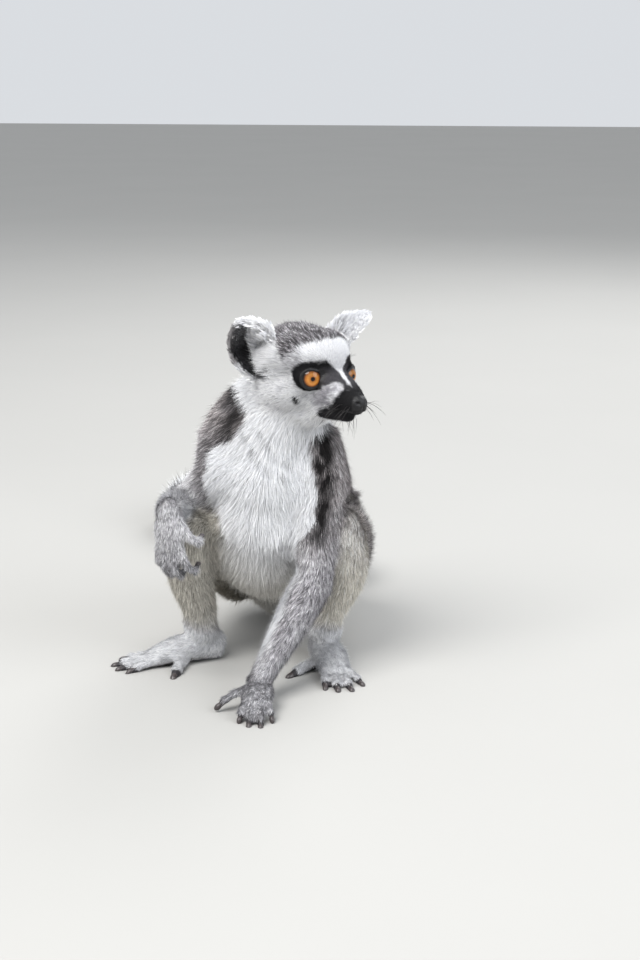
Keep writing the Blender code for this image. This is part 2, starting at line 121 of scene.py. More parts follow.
UP = Vector((0, 0, 1))
ACROSS = Vector((1, 0, 0))


# ---------------------------------------------------------------- making shapes
def placed(name, data):
    """A new object of the scene, at the origin."""
    made = bpy.data.objects.new(name, data)
    bpy.context.scene.collection.objects.link(made)
    return made


def object_of(bm, name):
    """Turns a bmesh into a smooth-shaded object of the scene."""
    mesh = bpy.data.meshes.new(name)
    bm.to_mesh(mesh)
    bm.free()
    mesh.shade_smooth()
    return placed(name, mesh)


def frozen(obj):
    """Applies the object's modifiers to its mesh."""
    bpy.context.view_layer.update()
    graph = bpy.context.evaluated_depsgraph_get()
    mesh = bpy.data.meshes.new_from_object(obj.evaluated_get(graph))
    obj.modifiers.clear()
    old = obj.data
    obj.data = mesh
    bpy.data.meshes.remove(old)
    return obj


def add_piece(bm, piece, turn=None):
    """Moves a small bmesh into a larger one. Small ones keep the operators quick."""
    if turn:
        bmesh.ops.transform(piece, matrix=turn, verts=piece.verts)
    mesh = bpy.data.meshes.new("piece")
    piece.to_mesh(mesh)
    piece.free()
    bm.from_mesh(mesh)
    bpy.data.meshes.remove(mesh)


def ball(bm, centre, radii, turn=None, segments=32):
    """Adds an ellipsoid with these half axes, turned by a matrix if one is given."""
    place = Matrix.Translation(centre) @ (turn or Matrix()) @ Matrix.Diagonal((*radii, 1.0))
    rows = segments * 2 // 3
    piece = bmesh.new()
    bmesh.ops.create_uvsphere(piece, u_segments=segments, v_segments=rows, radius=1.0, matrix=place)
    add_piece(bm, piece)


def smooth_between(values, share):
    """Catmull-Rom curve through values, read at share 0..1 of its points."""
    last = len(values) - 1
    at = min(share * last, last - 1e-9)
    k = int(at)
    t = at - k
    a, b, c, d = (values[min(max(k + i, 0), last)] for i in (-1, 0, 1, 2))
    return 0.5 * (
        b * 2.0 + (c - a) * t + (a * 2.0 - b * 5.0 + c * 4.0 - d) * t**2 + (b * 3.0 - a - c * 3.0 + d) * t**3
    )


CAP_TURNS = (0.4, 0.8, 1.15, 1.4)        # where the rings of a tube's rounded end lie, in radians
CAP_REACH = 0.72                         # how far the end reaches, in half widths


def tube(bm, way, widths, depths=None, side=ACROSS, rings=30, segments=32):
    """Draws a circle along way into a tube with rounded ends. widths are its half sizes along side."""
    way = [Vector(p) for p in way]
    depths = depths or widths
    stations = [(i / rings, 1.0, 0.0) for i in range(rings + 1)]
    ends = [(math.cos(a), math.sin(a)) for a in CAP_TURNS]
    stations = [(0.0, c, -s) for c, s in reversed(ends)] + stations + [(1.0, c, s) for c, s in ends]
    places = []
    for share, shrink, beyond in stations:
        ahead = smooth_between(way, min(share + 0.01, 1.0)) - smooth_between(way, max(share - 0.01, 0.0))
        ahead.normalize()
        across = (side - ahead * side.dot(ahead)).normalized()
        up = ahead.cross(across)
        width, depth = smooth_between(widths, share), smooth_between(depths, share)
        centre = smooth_between(way, share) + ahead * beyond * min(width, depth) * CAP_REACH
        turn = Matrix((across * width * shrink, up * depth * shrink, ahead * MM)).transposed().to_4x4()
        places.append(Matrix.Translation(centre) @ turn)
    piece = bmesh.new()
    ring = bmesh.ops.create_circle(piece, segments=segments, radius=1.0, matrix=places[0])["verts"]
    edges = list({e for v in ring for e in v.link_edges})
    bmesh.ops.contextual_create(piece, geom=edges)
    for low, high in zip(places, places[1:]):
        grown = bmesh.ops.extrude_edge_only(piece, edges=edges)["geom"]
        ring = [g for g in grown if isinstance(g, bmesh.types.BMVert)]
        kept = set(ring)
        edges = [g for g in grown if isinstance(g, bmesh.types.BMEdge) and kept.issuperset(g.verts)]
        bmesh.ops.transform(piece, matrix=high @ low.inverted(), verts=ring)
    bmesh.ops.contextual_create(piece, geom=edges)
    bmesh.ops.recalc_face_normals(piece, faces=piece.faces)
    add_piece(bm, piece)


def frame_at(place, ahead, back):
    """A local frame at place: -Y runs to the finger tips, +Z is the back of the hand or foot."""
    y = -ahead.normalized()
    x = y.cross(back).normalized()
    z = x.cross(y)
    return Matrix.Translation(place) @ Matrix((x, y, z)).transposed().to_4x4()


def digit_way(base, aim, length, curl):
    """The joints of one finger or toe, in the hand's own frame."""
    way, pitch = [Vector(base)], 0.0
    for share in (0.42, 0.33, 0.25):
        ahead = Vector((math.sin(aim) * math.cos(pitch), -math.cos(aim) * math.cos(pitch), -math.sin(pitch)))
        way.append(way[-1] + ahead * length * share)
        pitch += curl
    return way


def paws_of(side):
    """The frames of the hand and the foot of one side, and the height of the sole in the foot's own frame."""
    pose = POSE[side]
    hand = frame_at(pose["wrist"], pose["hand_ahead"], pose["hand_back"])
    foot = frame_at(pose["ankle"], pose["foot_ahead"], UP)
    return hand, foot, SOLE_RISE - pose["ankle"].z


Digit = namedtuple("Digit", "name place way radius is_toe")


def digits_of(side):
    """Every finger and toe of one side, with its joints in the frame of its hand or foot."""
    hand, foot, sole = paws_of(side)
    fingers = SPREAD_HAND if side > 0 else RELAXED_HAND
    found = []
    for rows, place, height, curl in (
        (fingers, hand, -0.5 * MM, HAND_CURL[side]), (TOES, foot, sole + 1.2 * MM, TOE_CURL),
    ):
        for name, across, ahead, aim, length, radius in rows:
            base = (-side * across, -ahead, height)
            way = digit_way(base, -side * math.radians(aim), length, curl)
            found.append(Digit(name, place, way, radius, rows is TOES))
    return found


def add_digits(bm, side):
    """Palm, fingers, heel, instep and toes of one side."""
    hand, foot, sole = paws_of(side)
    ball(bm, hand @ Vector((0, -0.016, 0.000)), (0.0118, 0.0175, 0.0072), hand.to_3x3().to_4x4())
    ball(bm, foot @ Vector((0, 0.0075, -0.0085)), (0.0090, 0.0110, 0.0115), foot.to_3x3().to_4x4())
    instep = ((0, 0.010, sole + 0.006), (0, -0.016, sole + 0.0065), (0, -0.038, sole + 0.0020))
    tube(bm, [foot @ Vector(p) for p in instep], [0.0100, 0.0132, 0.0118], [0.0100, 0.0105, 0.0062],
         side=foot.to_3x3() @ ACROSS)
    for digit in digits_of(side):
        radius, way = digit.radius, digit.way
        joints = [digit.place @ p for p in way]
        # knuckles are a little wider than the bones between them
        widths = [radius, radius * 0.92, radius * 0.90, radius * 0.78]
        tube(bm, joints, widths, side=digit.place.to_3x3() @ ACROSS, rings=16, segments=16)
        for joint in joints[:3]:
            ball(bm, joint, (radius * 1.03,) * 3, segments=16)
        if not digit.is_toe:
            root = digit.place @ Vector((way[0].x * 0.45, way[0].y * 0.35, 0.0))
            tube(bm, [root, joints[0]], [radius * 1.2, radius * 1.05], rings=6, segments=16)


def add_limbs(bm, side):
    """Shoulder, arm, flank and leg of one side, with their hand and foot."""
    pose = POSE[side]
    shoulder, elbow, wrist = pose["shoulder"], pose["elbow"], pose["wrist"]
    low = 0.003 if side > 0 else -0.002      # the planted arm's shoulder sits lower
    ball(bm, shoulder + Vector((-0.004 * side, 0.020, 0.002 - low)), (0.021, 0.030, 0.028))
    ball(bm, shoulder - Vector((0, 0, low)), (0.0225, 0.024, 0.027))
    mantle = Vector((-0.006, 0.010, 0.200)) if side < 0 else Vector((0.010, 0.010, 0.186))
    wide = 0.004 if side > 0 else 0.010
    tube(bm, [mantle - SEAT, (mantle - SEAT).lerp(shoulder, 0.5) + Vector((side * wide, 0, 0)),
              shoulder - Vector((-side * wide * 0.4, -0.006, 0.010))], [0.021, 0.0235, 0.0235])
    flank = 0.037 if side > 0 else 0.033
    tube(bm, [shoulder + Vector((-side * 0.004, 0.020, -0.012)), Vector((side * flank, -0.062, 0.108)),
              Vector((side * (flank - 0.002), -0.045, 0.078))], [0.020, 0.022, 0.023])
    tube(bm, [shoulder, shoulder.lerp(elbow, 0.5), elbow], [0.0225, 0.0185, 0.0152])
    forearm = [elbow, elbow.lerp(wrist, 0.28), elbow.lerp(wrist, 0.7), wrist]
    tube(bm, forearm, [0.0158, 0.0158, 0.0125, 0.0100])
    hip, knee, ankle = pose["hip"], pose["knee"], pose["ankle"]
    tube(bm, [hip, hip.lerp(knee, 0.45), knee], [0.0300, 0.0290, 0.0185], [0.0400, 0.0350, 0.0190])
    ball(bm, knee, (0.0175, 0.0180, 0.0185))
    calf = knee.lerp(ankle, 0.42) + Vector((side * 0.005, 0.004, 0))
    tube(bm, [knee, calf, knee.lerp(ankle, 0.78), ankle], [0.0175, 0.0190, 0.0142, 0.0128])
    add_digits(bm, side)


def add_trunk(bm):
    centres, widths, depths = zip(*SPINE)
    tube(bm, centres, widths, depths, rings=50, segments=44)
    for centre, radii in (
        ((-0.008, 0.017, 0.086), (0.041, 0.040, 0.046)),      # the belly hangs forward
        ((-0.001, -0.011, 0.140), (0.034, 0.028, 0.034)),     # breast
        ((0.000, 0.100, 0.040), (0.048, 0.042, 0.044)),       # rump
        ((-0.006, 0.010, 0.182), (0.030, 0.026, 0.030)),      # nape
        ((-0.004, 0.000, 0.112), (0.038, 0.035, 0.040)),      # below the breast
        ((0.010, -0.010, 0.182), (0.024, 0.022, 0.024)),      # throat
    ):
        ball(bm, Vector(centre) - SEAT, radii, segments=44)


def tail_line(steps):
    """Points at even distances along the tail, as long as the tail is."""
    parts = 400
    fine = [smooth_between(TAIL_WAY, i / parts) for i in range(parts + 1)]
    run = [0.0]
    for a, b in zip(fine, fine[1:]):
        run.append(run[-1] + (b - a).length)
    kept = [p for p, s in zip(fine, run) if s <= TAIL_LENGTH]
    return [kept[round(i * (len(kept) - 1) / steps)] for i in range(steps + 1)]


def add_tail(bm):
    widths = [0.0150, 0.0185, 0.0215, 0.0230, 0.0235, 0.0235, 0.0230, 0.0215, 0.0150]
    tube(bm, tail_line(24), widths, side=UP, rings=90, segments=28)


def add_head(bm):
    """The head in its own frame, nose towards -Y, then turned into place."""
    whole, bm = bm, bmesh.new()
    ball(bm, Vector((0, 0.000, 0.004)), (0.0300, 0.0325, 0.0298))       # brain case
    ball(bm, Vector((0, -0.0155, 0.008)), (0.0258, 0.0270, 0.0238))     # forehead
    ball(bm, Vector((0, -0.006, -0.015)), (0.0205, 0.0300, 0.0150))     # throat
    ball(bm, Vector((0, -0.008, -0.027)), (0.0190, 0.0220, 0.0140))
    for side in (-1, 1):
        ball(bm, Vector((side * 0.0165, -0.001, -0.009)), (0.0150, 0.0255, 0.0175))      # cheek
        ball(bm, Vector((side * 0.0135, -0.0120, 0.0130)), (0.0170, 0.0190, 0.0165))     # temple
        ball(bm, EYE_PLACE[side] + Vector((0, 0.0035, 0)), (0.0118, 0.0105, 0.0118))     # eye surround
    muzzle = [(0, -0.030, -0.006), (0, -0.046, -0.0105), (0, -0.057, -0.0140), (0, -0.0645, -0.0155)]
    tube(bm, muzzle, [0.0150, 0.0118, 0.0090, 0.0064], [0.0165, 0.0130, 0.0100, 0.0066])
    bridge = [(0, -0.030, 0.0085), (0, -0.0354, 0.0046), (0, -0.0394, 0.0012), (0, -0.0463, -0.0036),
              (0, -0.052, -0.007)]
    tube(bm, bridge, [0.0052, 0.0050, 0.0050, 0.0052, 0.0052])
    jaw = [(0, -0.018, -0.0205), (0, -0.038, -0.0245), (0, -0.052, -0.0240)]
    tube(bm, jaw, [0.0140, 0.0098, 0.0060], [0.0080, 0.0055, 0.0048])
    ball(bm, Vector((0, -0.0655, -0.0138)), (0.0052, 0.0034, 0.0042))   # nose pad
    add_piece(whole, bm, HEAD_FRAME)


def ear_axes(side):
    """Centre, half length, half width and inward way of an ear, all as if it were the left one."""
    root = Vector((0.027, -0.002, -0.004))
    tip = Vector((0.057, -0.012, 0.0315)) if side > 0 else Vector((0.044, 0.008, 0.0355))
    centre, length = (root + tip) / 2, (tip - root) / 2
    across = Vector((0.72, 0.68, 0.0))
    across = (across - length * across.dot(length) / length.length_squared).normalized() * EAR_WIDTH / 2
    inward = across.cross(length).normalized()
    if inward.y < 0:
        inward.negate()
    return centre, length, across, inward


def add_ear(bm, side):
    """A round sheet cupped into a leaf at the side of the head, then given its wall."""
    centre, length, across, inward = ear_axes(side)
    leaf = bmesh.new()
    bmesh.ops.create_grid(leaf, x_segments=26, y_segments=26, size=1.0)
    for v in leaf.verts:
        # the square sheet is drawn in to a disc
        x, y = v.co.x * math.sqrt(1 - v.co.y**2 / 2), v.co.y * math.sqrt(1 - v.co.x**2 / 2)
        out = min(math.hypot(x, y), 1.0)
        narrow = 1.0 - 0.10 * max(y, 0.0) ** 2
        point = centre + across * x * narrow * 0.97 + length * y * 0.985
        point += inward * (EAR_DEPTH * (1 - out**2) ** 0.7 + 0.6 * MM)
        point -= inward * 1.2 * MM * math.exp(-((x + 0.75) ** 2) / 0.05)      # the front edge folds over
        v.co = Vector((point.x * side, point.y, point.z))
    bmesh.ops.recalc_face_normals(leaf, faces=leaf.faces)
    middle = min(leaf.faces, key=lambda f: f.calc_center_median().z ** 2)
    if middle.normal.dot(Vector((inward.x * side, inward.y, inward.z))) > 0:
        bmesh.ops.reverse_faces(leaf, faces=leaf.faces)
    bmesh.ops.solidify(leaf, geom=leaf.faces[:], thickness=EAR_WALL)
    bmesh.ops.recalc_face_normals(leaf, faces=leaf.faces)
    add_piece(bm, leaf, HEAD_FRAME)


# ---------------------------------------------------------------- numbers on a mesh
def points_of(mesh):
    co = np.empty(len(mesh.vertices) * 3, np.float32)
    mesh.vertices.foreach_get("co", co)
    return co.reshape(-1, 3).astype(float)


def normals_of(mesh):
    out = np.empty(len(mesh.vertices) * 3, np.float32)
    mesh.vertex_normals.foreach_get("vector", out)
    return out.reshape(-1, 3).astype(float)


def put_points(mesh, co):
    mesh.vertices.foreach_set("co", co.astype(np.float32).ravel())
    mesh.update()


EASE_IN, EASE_OUT = 0.55, 0.52           # how far a smoothed shape goes in, and comes out again


class Web:
    """Who touches whom among a mesh's vertices, to spread values over it."""

    def __init__(self, mesh):
        ends = np.empty(len(mesh.edges) * 2, np.int32)
        mesh.edges.foreach_get("vertices", ends)
        self.a, self.b, self.n = ends[::2], ends[1::2], len(mesh.vertices)
        self.count = np.maximum(np.bincount(ends, minlength=self.n), 1)[:, None]

    def mean(self, values):
        out = np.empty_like(values)
        for k, column in enumerate(values.T):
            out[:, k] = np.bincount(self.a, column[self.b], self.n)
            out[:, k] += np.bincount(self.b, column[self.a], self.n)
        return out / self.count

    def spread(self, values, times, share=1.0):
        for _ in range(times):
            values = values + (self.mean(values) - values) * share
        return values

    def ease(self, co, times, keep=None):
        """Smooths a shape and puts back most of what it shrinks. keep holds the points that stay."""
        go = 1.0 if keep is None else (1.0 - keep)[:, None]
        for _ in range(times):
            co = co + (self.mean(co) - co) * EASE_IN * go
            co = co - (self.mean(co) - co) * EASE_OUT * go
        return co


def step(low, high, x):
    """A soft rise from 0 at low to 1 at high, or a fall if low is the larger."""
    t = np.clip((x - low) / (high - low), 0, 1)
    return t * t * (3 - 2 * t)


SHUFFLE = np.array([[73856093], [19349663], [83492791]])     # large primes, one for each axis
STIR = 1274126177
HIGHEST = 0xFFFF


def grain(co, size, seed):
    """Smooth noise from -1 to 1 with bumps of this size."""
    p = np.ascontiguousarray((co / size + seed * 17.31).T)
    cell = np.floor(p).astype(np.int64)
    f = p - cell
    f = f * f * (3 - 2 * f)
    # every corner of the cells has a number of its own, and a weight by how near it is
    numbers = (cell * SHUFFLE, (cell + 1) * SHUFFLE)
    weights = (1 - f, f)
    total = np.zeros(len(co))
    for x, y, z in itertools.product((0, 1), repeat=3):
        h = numbers[x][0] ^ numbers[y][1] ^ numbers[z][2]
        h = (h ^ (h >> 13)) * STIR & 0x7FFFFFFF
        h = (h ^ (h >> 16)) & HIGHEST
        total += weights[x][0] * weights[y][1] * weights[z][2] * h
    return total / (HIGHEST / 2) - 1.0


def unit(v):
    return v / np.maximum(np.linalg.norm(v, axis=1, keepdims=True), 1e-12)


Nearest = namedtuple("Nearest", "foot ahead run number gap")


class Way:
    """A line of points that finds, for any number of places, the nearest place on itself."""

    def __init__(self, points):
        self.p = np.array([list(q) for q in points], float)
        self.run = np.concatenate([[0], np.cumsum(np.linalg.norm(np.diff(self.p, axis=0), axis=1))])

    def nearest(self, co):
        """The place, the way ahead there, the length and the number of points run so far, and the gap."""
        best = np.full(len(co), 1e9)
        foot, ahead, run = np.zeros_like(co), np.zeros_like(co), np.zeros(len(co))
        number = np.zeros(len(co))
        for k in range(len(self.p) - 1):
            a, b = self.p[k], self.p[k + 1]
            d = b - a
            t = np.clip((co - a) @ d / (d @ d), 0, 1)
            place = a + t[:, None] * d
            gap = np.linalg.norm(co - place, axis=1)
            near = gap < best
            best[near], foot[near], ahead[near] = gap[near], place[near], d / np.linalg.norm(d)
            run[near] = self.run[k] + t[near] * np.linalg.norm(d)
            number[near] = k + t[near]
        return Nearest(foot, ahead, run, number, best)


WAY_STEPS = 5                            # points of a rounded way for each point that it is drawn through


def round_way(points):
    points = [Vector(p) for p in points]
    count = WAY_STEPS * (len(points) - 1)
    return Way([smooth_between(points, i / count) for i in range(count + 1)])


def limb_way(start, bend, end, *beyond):
    """The middle line of a limb through its three joints and on into the hand or foot."""
    return round_way([start, start.lerp(bend, 0.5), bend, bend.lerp(end, 0.5), *beyond])


BACK_LINE = round_way([p for p, _, _ in SPINE][::-1])
TAIL_LINE = Way(tail_line(70))
ARM_LINES, LEG_LINES = {}, {}
for side, pose in POSE.items():
    wrist, ankle = pose["wrist"], pose["ankle"]
    ARM_LINES[side] = limb_way(
        pose["shoulder"], pose["elbow"], wrist, wrist, wrist + pose["hand_ahead"].normalized() * 0.055)
    LEG_LINES[side] = limb_way(
        pose["hip"], pose["knee"], ankle, ankle - UP * 0.006,
        ankle - UP * 0.012 + pose["foot_ahead"].normalized() * 0.065)
HEAD_TURN = np.array(HEAD_FRAME.to_3x3())
HEAD_AT = np.array(HEAD_CENTRE)


def in_head(co):
    """Points in the head's own frame, in millimetres, called q below: left is +x, the nose -y, up +z."""
    return (co - HEAD_AT) @ HEAD_TURN / MM


def eye_gap(q):
    """Millimetres to the nearer eye."""
    x, y, z = EYE_SEAT
    return np.minimum(*(np.linalg.norm(q - [side * x, y, z], axis=1) for side in (1, -1)))


# ---------------------------------------------------------------- regions and coat measures
REGIONS = (
    "head", "ear_left", "ear_right", "neck", "chest", "belly", "pelvis",
    "upper_arm_left", "forearm_left", "hand_left", "upper_arm_right", "forearm_right", "hand_right",
    "thigh_left", "shank_left", "foot_left", "thigh_right", "shank_right", "foot_right",
    "tail_1", "tail_2", "tail_3", "tail_4", "tail_5", "tail_6",
)
TRUNK = ("neck", "chest", "belly", "pelvis")
# millimetres, with the lift of the hair in degrees
#            depth  length width  lift   count on a square millimetre
COAT = {
    "head":      (1.8,  4.6, 0.58, 24, 3.00),
    "ear":       (0.35, 4.0, 0.25, 28, 4.60),
    "neck":      (4.5,  9.5, 0.72, 17, 2.10),
    "chest":     (5.5, 11.0, 0.62, 17, 2.20),
    "belly":     (5.5, 10.5, 0.64, 17, 2.00),
    "pelvis":    (5.5, 10.5, 0.70, 17, 1.65),
    "upper_arm": (3.6,  7.5, 0.64, 17, 2.30),
    "forearm":   (2.8,  5.8, 0.56, 17, 2.80),
    "hand":      (0.9,  3.6, 0.42, 20, 3.00),
    "thigh":     (4.2,  8.5, 0.74, 18, 1.70),
    "shank":     (3.2,  6.8, 0.64, 17, 2.10),
    "foot":      (0.9,  3.6, 0.44, 20, 2.60),
    "tail":      (7.0, 14.5, 0.92, 24, 1.00),
}


def coat_of(region):
    """A region's row of the coat's measures, which left and right share."""
    return COAT[region] if region in COAT else COAT[region.rsplit("_", 1)[0]]


def regions_at(co):
    """One row per point with a 1 for the region it belongs to, from the nearest solid of the frame."""
    corners, faces, owner = [], [], []
    for k, name in enumerate(REGIONS):
        mesh = nodes[name].data
        first = len(corners)
        corners += [tuple(v.co) for v in mesh.vertices]
        faces += [[first + i for i in p.vertices] for p in mesh.polygons]
        owner += [k] * len(mesh.polygons)
    tree = BVHTree.FromPolygons(corners, faces)
    share = np.zeros((len(co), len(REGIONS)))
    for i, p in enumerate(co):
        share[i, owner[tree.find_nearest(p)[2]]] = 1.0
    return share


DEPTH, LENGTH, WIDTH, LIFT, COUNT = range(5)


def measure(share, column):
    """One of the coat's measures at each point."""
    return share @ np.array([coat_of(r)[column] for r in REGIONS])


def of_regions(share, *names):
    """How far each point belongs to these regions, given as "hand" for both or "hand_left" for one."""
    columns = [k for k, r in enumerate(REGIONS) if r in names or r.rsplit("_", 1)[0] in names]
    return share[:, columns].sum(1)


# ---------------------------------------------------------------- markings
def paint(r, g, b):
    """A colour from its everyday 0..255 values."""
    c = np.array([r, g, b], float) / 255
    return np.where(c <= 0.04045, c / 12.92, ((c + 0.055) / 1.055) ** 2.4)


WHITE = paint(234, 235, 238)
SNOW = paint(238, 238, 241)
CREAM = paint(212, 207, 196)
PALE = paint(200, 199, 203)
ASH = paint(160, 157, 161)
TAUPE = paint(154, 148, 148)
CHARCOAL = paint(58, 53, 54)
SOOT = paint(19, 18, 21)
LILAC = paint(150, 147, 154)
BARE = paint(58, 54, 58)

# outlines on the head: degrees from the nose line round to the side, and degrees above the eye line
CROWN_EDGE = ((0, 54.5), (10, 54.3), (21, 53), (41, 52), (52, 49.5), (58, 46.5), (66, 40), (73, 33.5),
              (82, 27), (89, 26), (96, 33), (106, 44), (118, 50), (127, 44), (135, 25), (142, 4), (150, -15),
              (158, -45), (160, -90), (180, -91))
BLAZE = ((0, 54), (25, 53), (45, 51), (53, 48), (59, 42), (56, 34), (41, 31.5), (19, 29.5), (13.5, 26.5),
         (10.8, 23), (6.6, 18), (4.0, 14), (2.8, 9), (2.3, 5), (1.7, 2.7), (1.2, 0), (0, -1.5), (-9, 0),
         (-9, 54))
# how far the blaze strays to the left, from low to high
BLAZE_MIDDLE = ((0, 2.7, 5, 9, 14, 18, 23, 30), (-2.9, -2.5, -1.9, -0.7, 1.1, 2.2, 4, 0))
PATCH = ((69, 3), (72, 13.5), (65, 22), (56, 26.8), (41, 29), (18.5, 27.5), (13, 24), (9, 19), (4, 14),
         (0, 11), (-9, 11), (-9, -6), (9.9, -4.9), (8.1, 0), (10.7, 1.9), (17.3, 0),
         (25, -3.9), (31.5, -12.5), (44, -17.6), (55, -13.9), (63, -7))
SNOUT = ((-9, -2), (2, -2), (9.9, -4.5), (14, -9), (17, -14.4), (17.3, -22.4), (16.5, -33), (24.3, -41),
         (29.5, -47.4), (24.2, -52), (13.8, -44), (7.1, -36), (-9, -33))
FUZZ = ((25, -3.9), (17.3, -0.3), (10.7, 1.6), (8.6, -0.3), (12.1, -5.4), (15.8, -9.8), (17.5, -16.9),
        (16.7, -30.5), (29, -42), (44, -38), (49, -30), (49, -19), (44, -18), (31.5, -13.3))
# the dark hollow of an ear, from its front edge -1 to its rear edge 1 and from its root -1 to its tip 1
HOLLOW = ((-0.13, 0.99), (0.2, 0.95), (0.55, 0.8), (0.84, 0.58), (1.0, 0.34), (0.99, 0.05), (0.9, -0.2),
          (0.82, -0.45), (0.68, -0.68), (0.4, -0.88), (0.0, -0.97), (-0.2, -0.86), (0.2, -0.69),
          (0.26, -0.48), (0.29, -0.23), (0.25, 0.11), (0.15, 0.38), (-0.08, 0.61), (-0.2, 0.86))


def inside(outline, u, v):
    """Signed distance in degrees from a closed outline, positive inside it."""
    pts = np.array(outline, float)
    gap, within = np.full(len(u), 1e9), np.zeros(len(u), bool)
    for (ax, ay), (bx, by) in zip(pts, np.roll(pts, -1, 0)):
        dx, dy = bx - ax, by - ay
        t = np.clip(((u - ax) * dx + (v - ay) * dy) / (dx * dx + dy * dy + 1e-9), 0, 1)
        gap = np.minimum(gap, np.hypot(u - ax - t * dx, v - ay - t * dy))
        crosses = (ay > v) != (by > v)
        within ^= crosses & (u < ax + (v - ay) * dx / (dy if abs(dy) > 1e-9 else 1e-9))
    return np.where(within, gap, -gap)


def lay(under, over, cover):
    """Lays one colour over another where cover is 1."""
    return under + (over - under) * np.clip(cover, 0, 1)[:, None]


def all_over(colour, co):
    return np.tile(colour, (len(co), 1))


def soft_bump(places, centre, radius):
    """1 at the centre, fading with the distance."""
    return np.exp(-((np.linalg.norm(places - centre, axis=1) / radius) ** 2))


def wander(co):
    """How the edges of markings stray on the body, from -1 to 1."""
    return grain(co, 6 * MM, 1) * 0.6 + grain(co, 2.2 * MM, 2) * 0.4


def fine_wander(co):
    """How the edges of markings stray on the head, from -1 to 1."""
    return grain(co, 2.4 * MM, 13) * 0.6 + grain(co, 1.1 * MM, 14) * 0.4


HEAD_MIDDLE = np.array([0.0, -14.0, -2.0])     # where the angles of the outlines are taken from


def head_angles(q):
    """Degrees from the nose line round to either side, round to the left alone, and above the eye line."""
    x, y, z = (q - HEAD_MIDDLE).T
    around, leftward = np.degrees(np.arctan2(np.abs(x), -y)), np.degrees(np.arctan2(x, -y))
    return around, leftward, np.degrees(np.arctan2(z, np.hypot(x, y)))


def ear_place(q, side):
    """Where a point of an ear lies: from its front edge -1 to its rear edge 1, and from root -1 to tip 1."""
    centre, length, across, _ = (np.array(v) / MM for v in ear_axes(side))
    off = q * [side, 1, 1] - centre
    return off @ across / (across @ across), off @ length / (length @ length)


# millimetres: heights, and how far across the white of breast and throat reaches there, seen from in front
FRONT_LEFT = ((88, 101, 109, 118, 130, 139, 148, 156, 170, 174, 177, 190),
              (17, 21, 29, 33, 34, 35, 33, 31, 30, 33, 38, 38))
FRONT_RIGHT = ((88, 106, 122, 134, 144, 160, 166, 171, 176, 183, 190, 198, 205),
               (-38, -40, -42, -44, -43, -39, -35, -27, -20, -15, -12, -18, -24))
# the left edge of the white inside the planted arm, from its wrist up
INNER_ARM = ((10, 35, 48, 65, 82, 93, 100), (-3, 4.4, 12, 18.6, 25, 20, 22))


def front_edge(co):
    """Millimetres outside the white of breast and throat."""
    x, z = co[:, 0] / MM, co[:, 2] / MM
    return np.maximum(x - np.interp(z, *FRONT_LEFT), np.interp(z, *FRONT_RIGHT) - x)


def line_on_coat(*points):
    return Way([Vector(p) * MM for p in points])


DARK_LEFT = line_on_coat(
    (34, -100, 182), (36, -107, 172), (37, -113, 164), (37, -117, 156), (39, -121, 147), (39, -123, 138),
    (39, -126, 129), (38, -129, 118), (35, -132, 107))
DARK_RIGHT = line_on_coat(
    (-26, -98, 206), (-22, -106, 198), (-20, -115, 190), (-24, -116, 183), (-28, -117, 176), (-34, -117, 170),
    (-43, -116, 160), (-48, -115, 150), (-50, -114, 138))
# lines of painted shade in the folds of the coat at the throat
THROAT_FOLD_SHADE = (
    line_on_coat((-18, -119, 183), (-13, -124, 175), (-8, -127, 166), (-2, -129, 157), (5, -131, 152),
                 (14, -128, 149), (25, -124, 148), (35, -125, 142)),
    line_on_coat((-4, -125, 181), (2, -127, 171), (9, -127, 161), (17, -124, 155)),
)


def shoulder_charcoal_and_shade(co):
    """The charcoal beside the white of the breast, partly the coat's own colour and partly painted shade
    where arm and chest meet: deep on the left, softer on the right.
    """
    near = DARK_LEFT.nearest(co)
    left = np.exp(-((near.gap / np.interp(near.run, (0, 0.03, 0.085), (10 * MM, 9 * MM, 8 * MM))) ** 2))
    left *= np.interp(near.run, (0, 0.04, 0.085), (1.0, 0.95, 0.75))
    near = DARK_RIGHT.nearest(co)
    right = np.exp(-((near.gap / (9 * MM)) ** 2)) * np.interp(near.run, (0, 0.03, 0.075), (0.85, 0.8, 0.45))
    streaks = 0.72 + 0.28 * grain(co * [1, 1, 0.4], 3 * MM, 22)
    return np.clip(np.maximum(left, right) * streaks * 1.55, 0, 1)


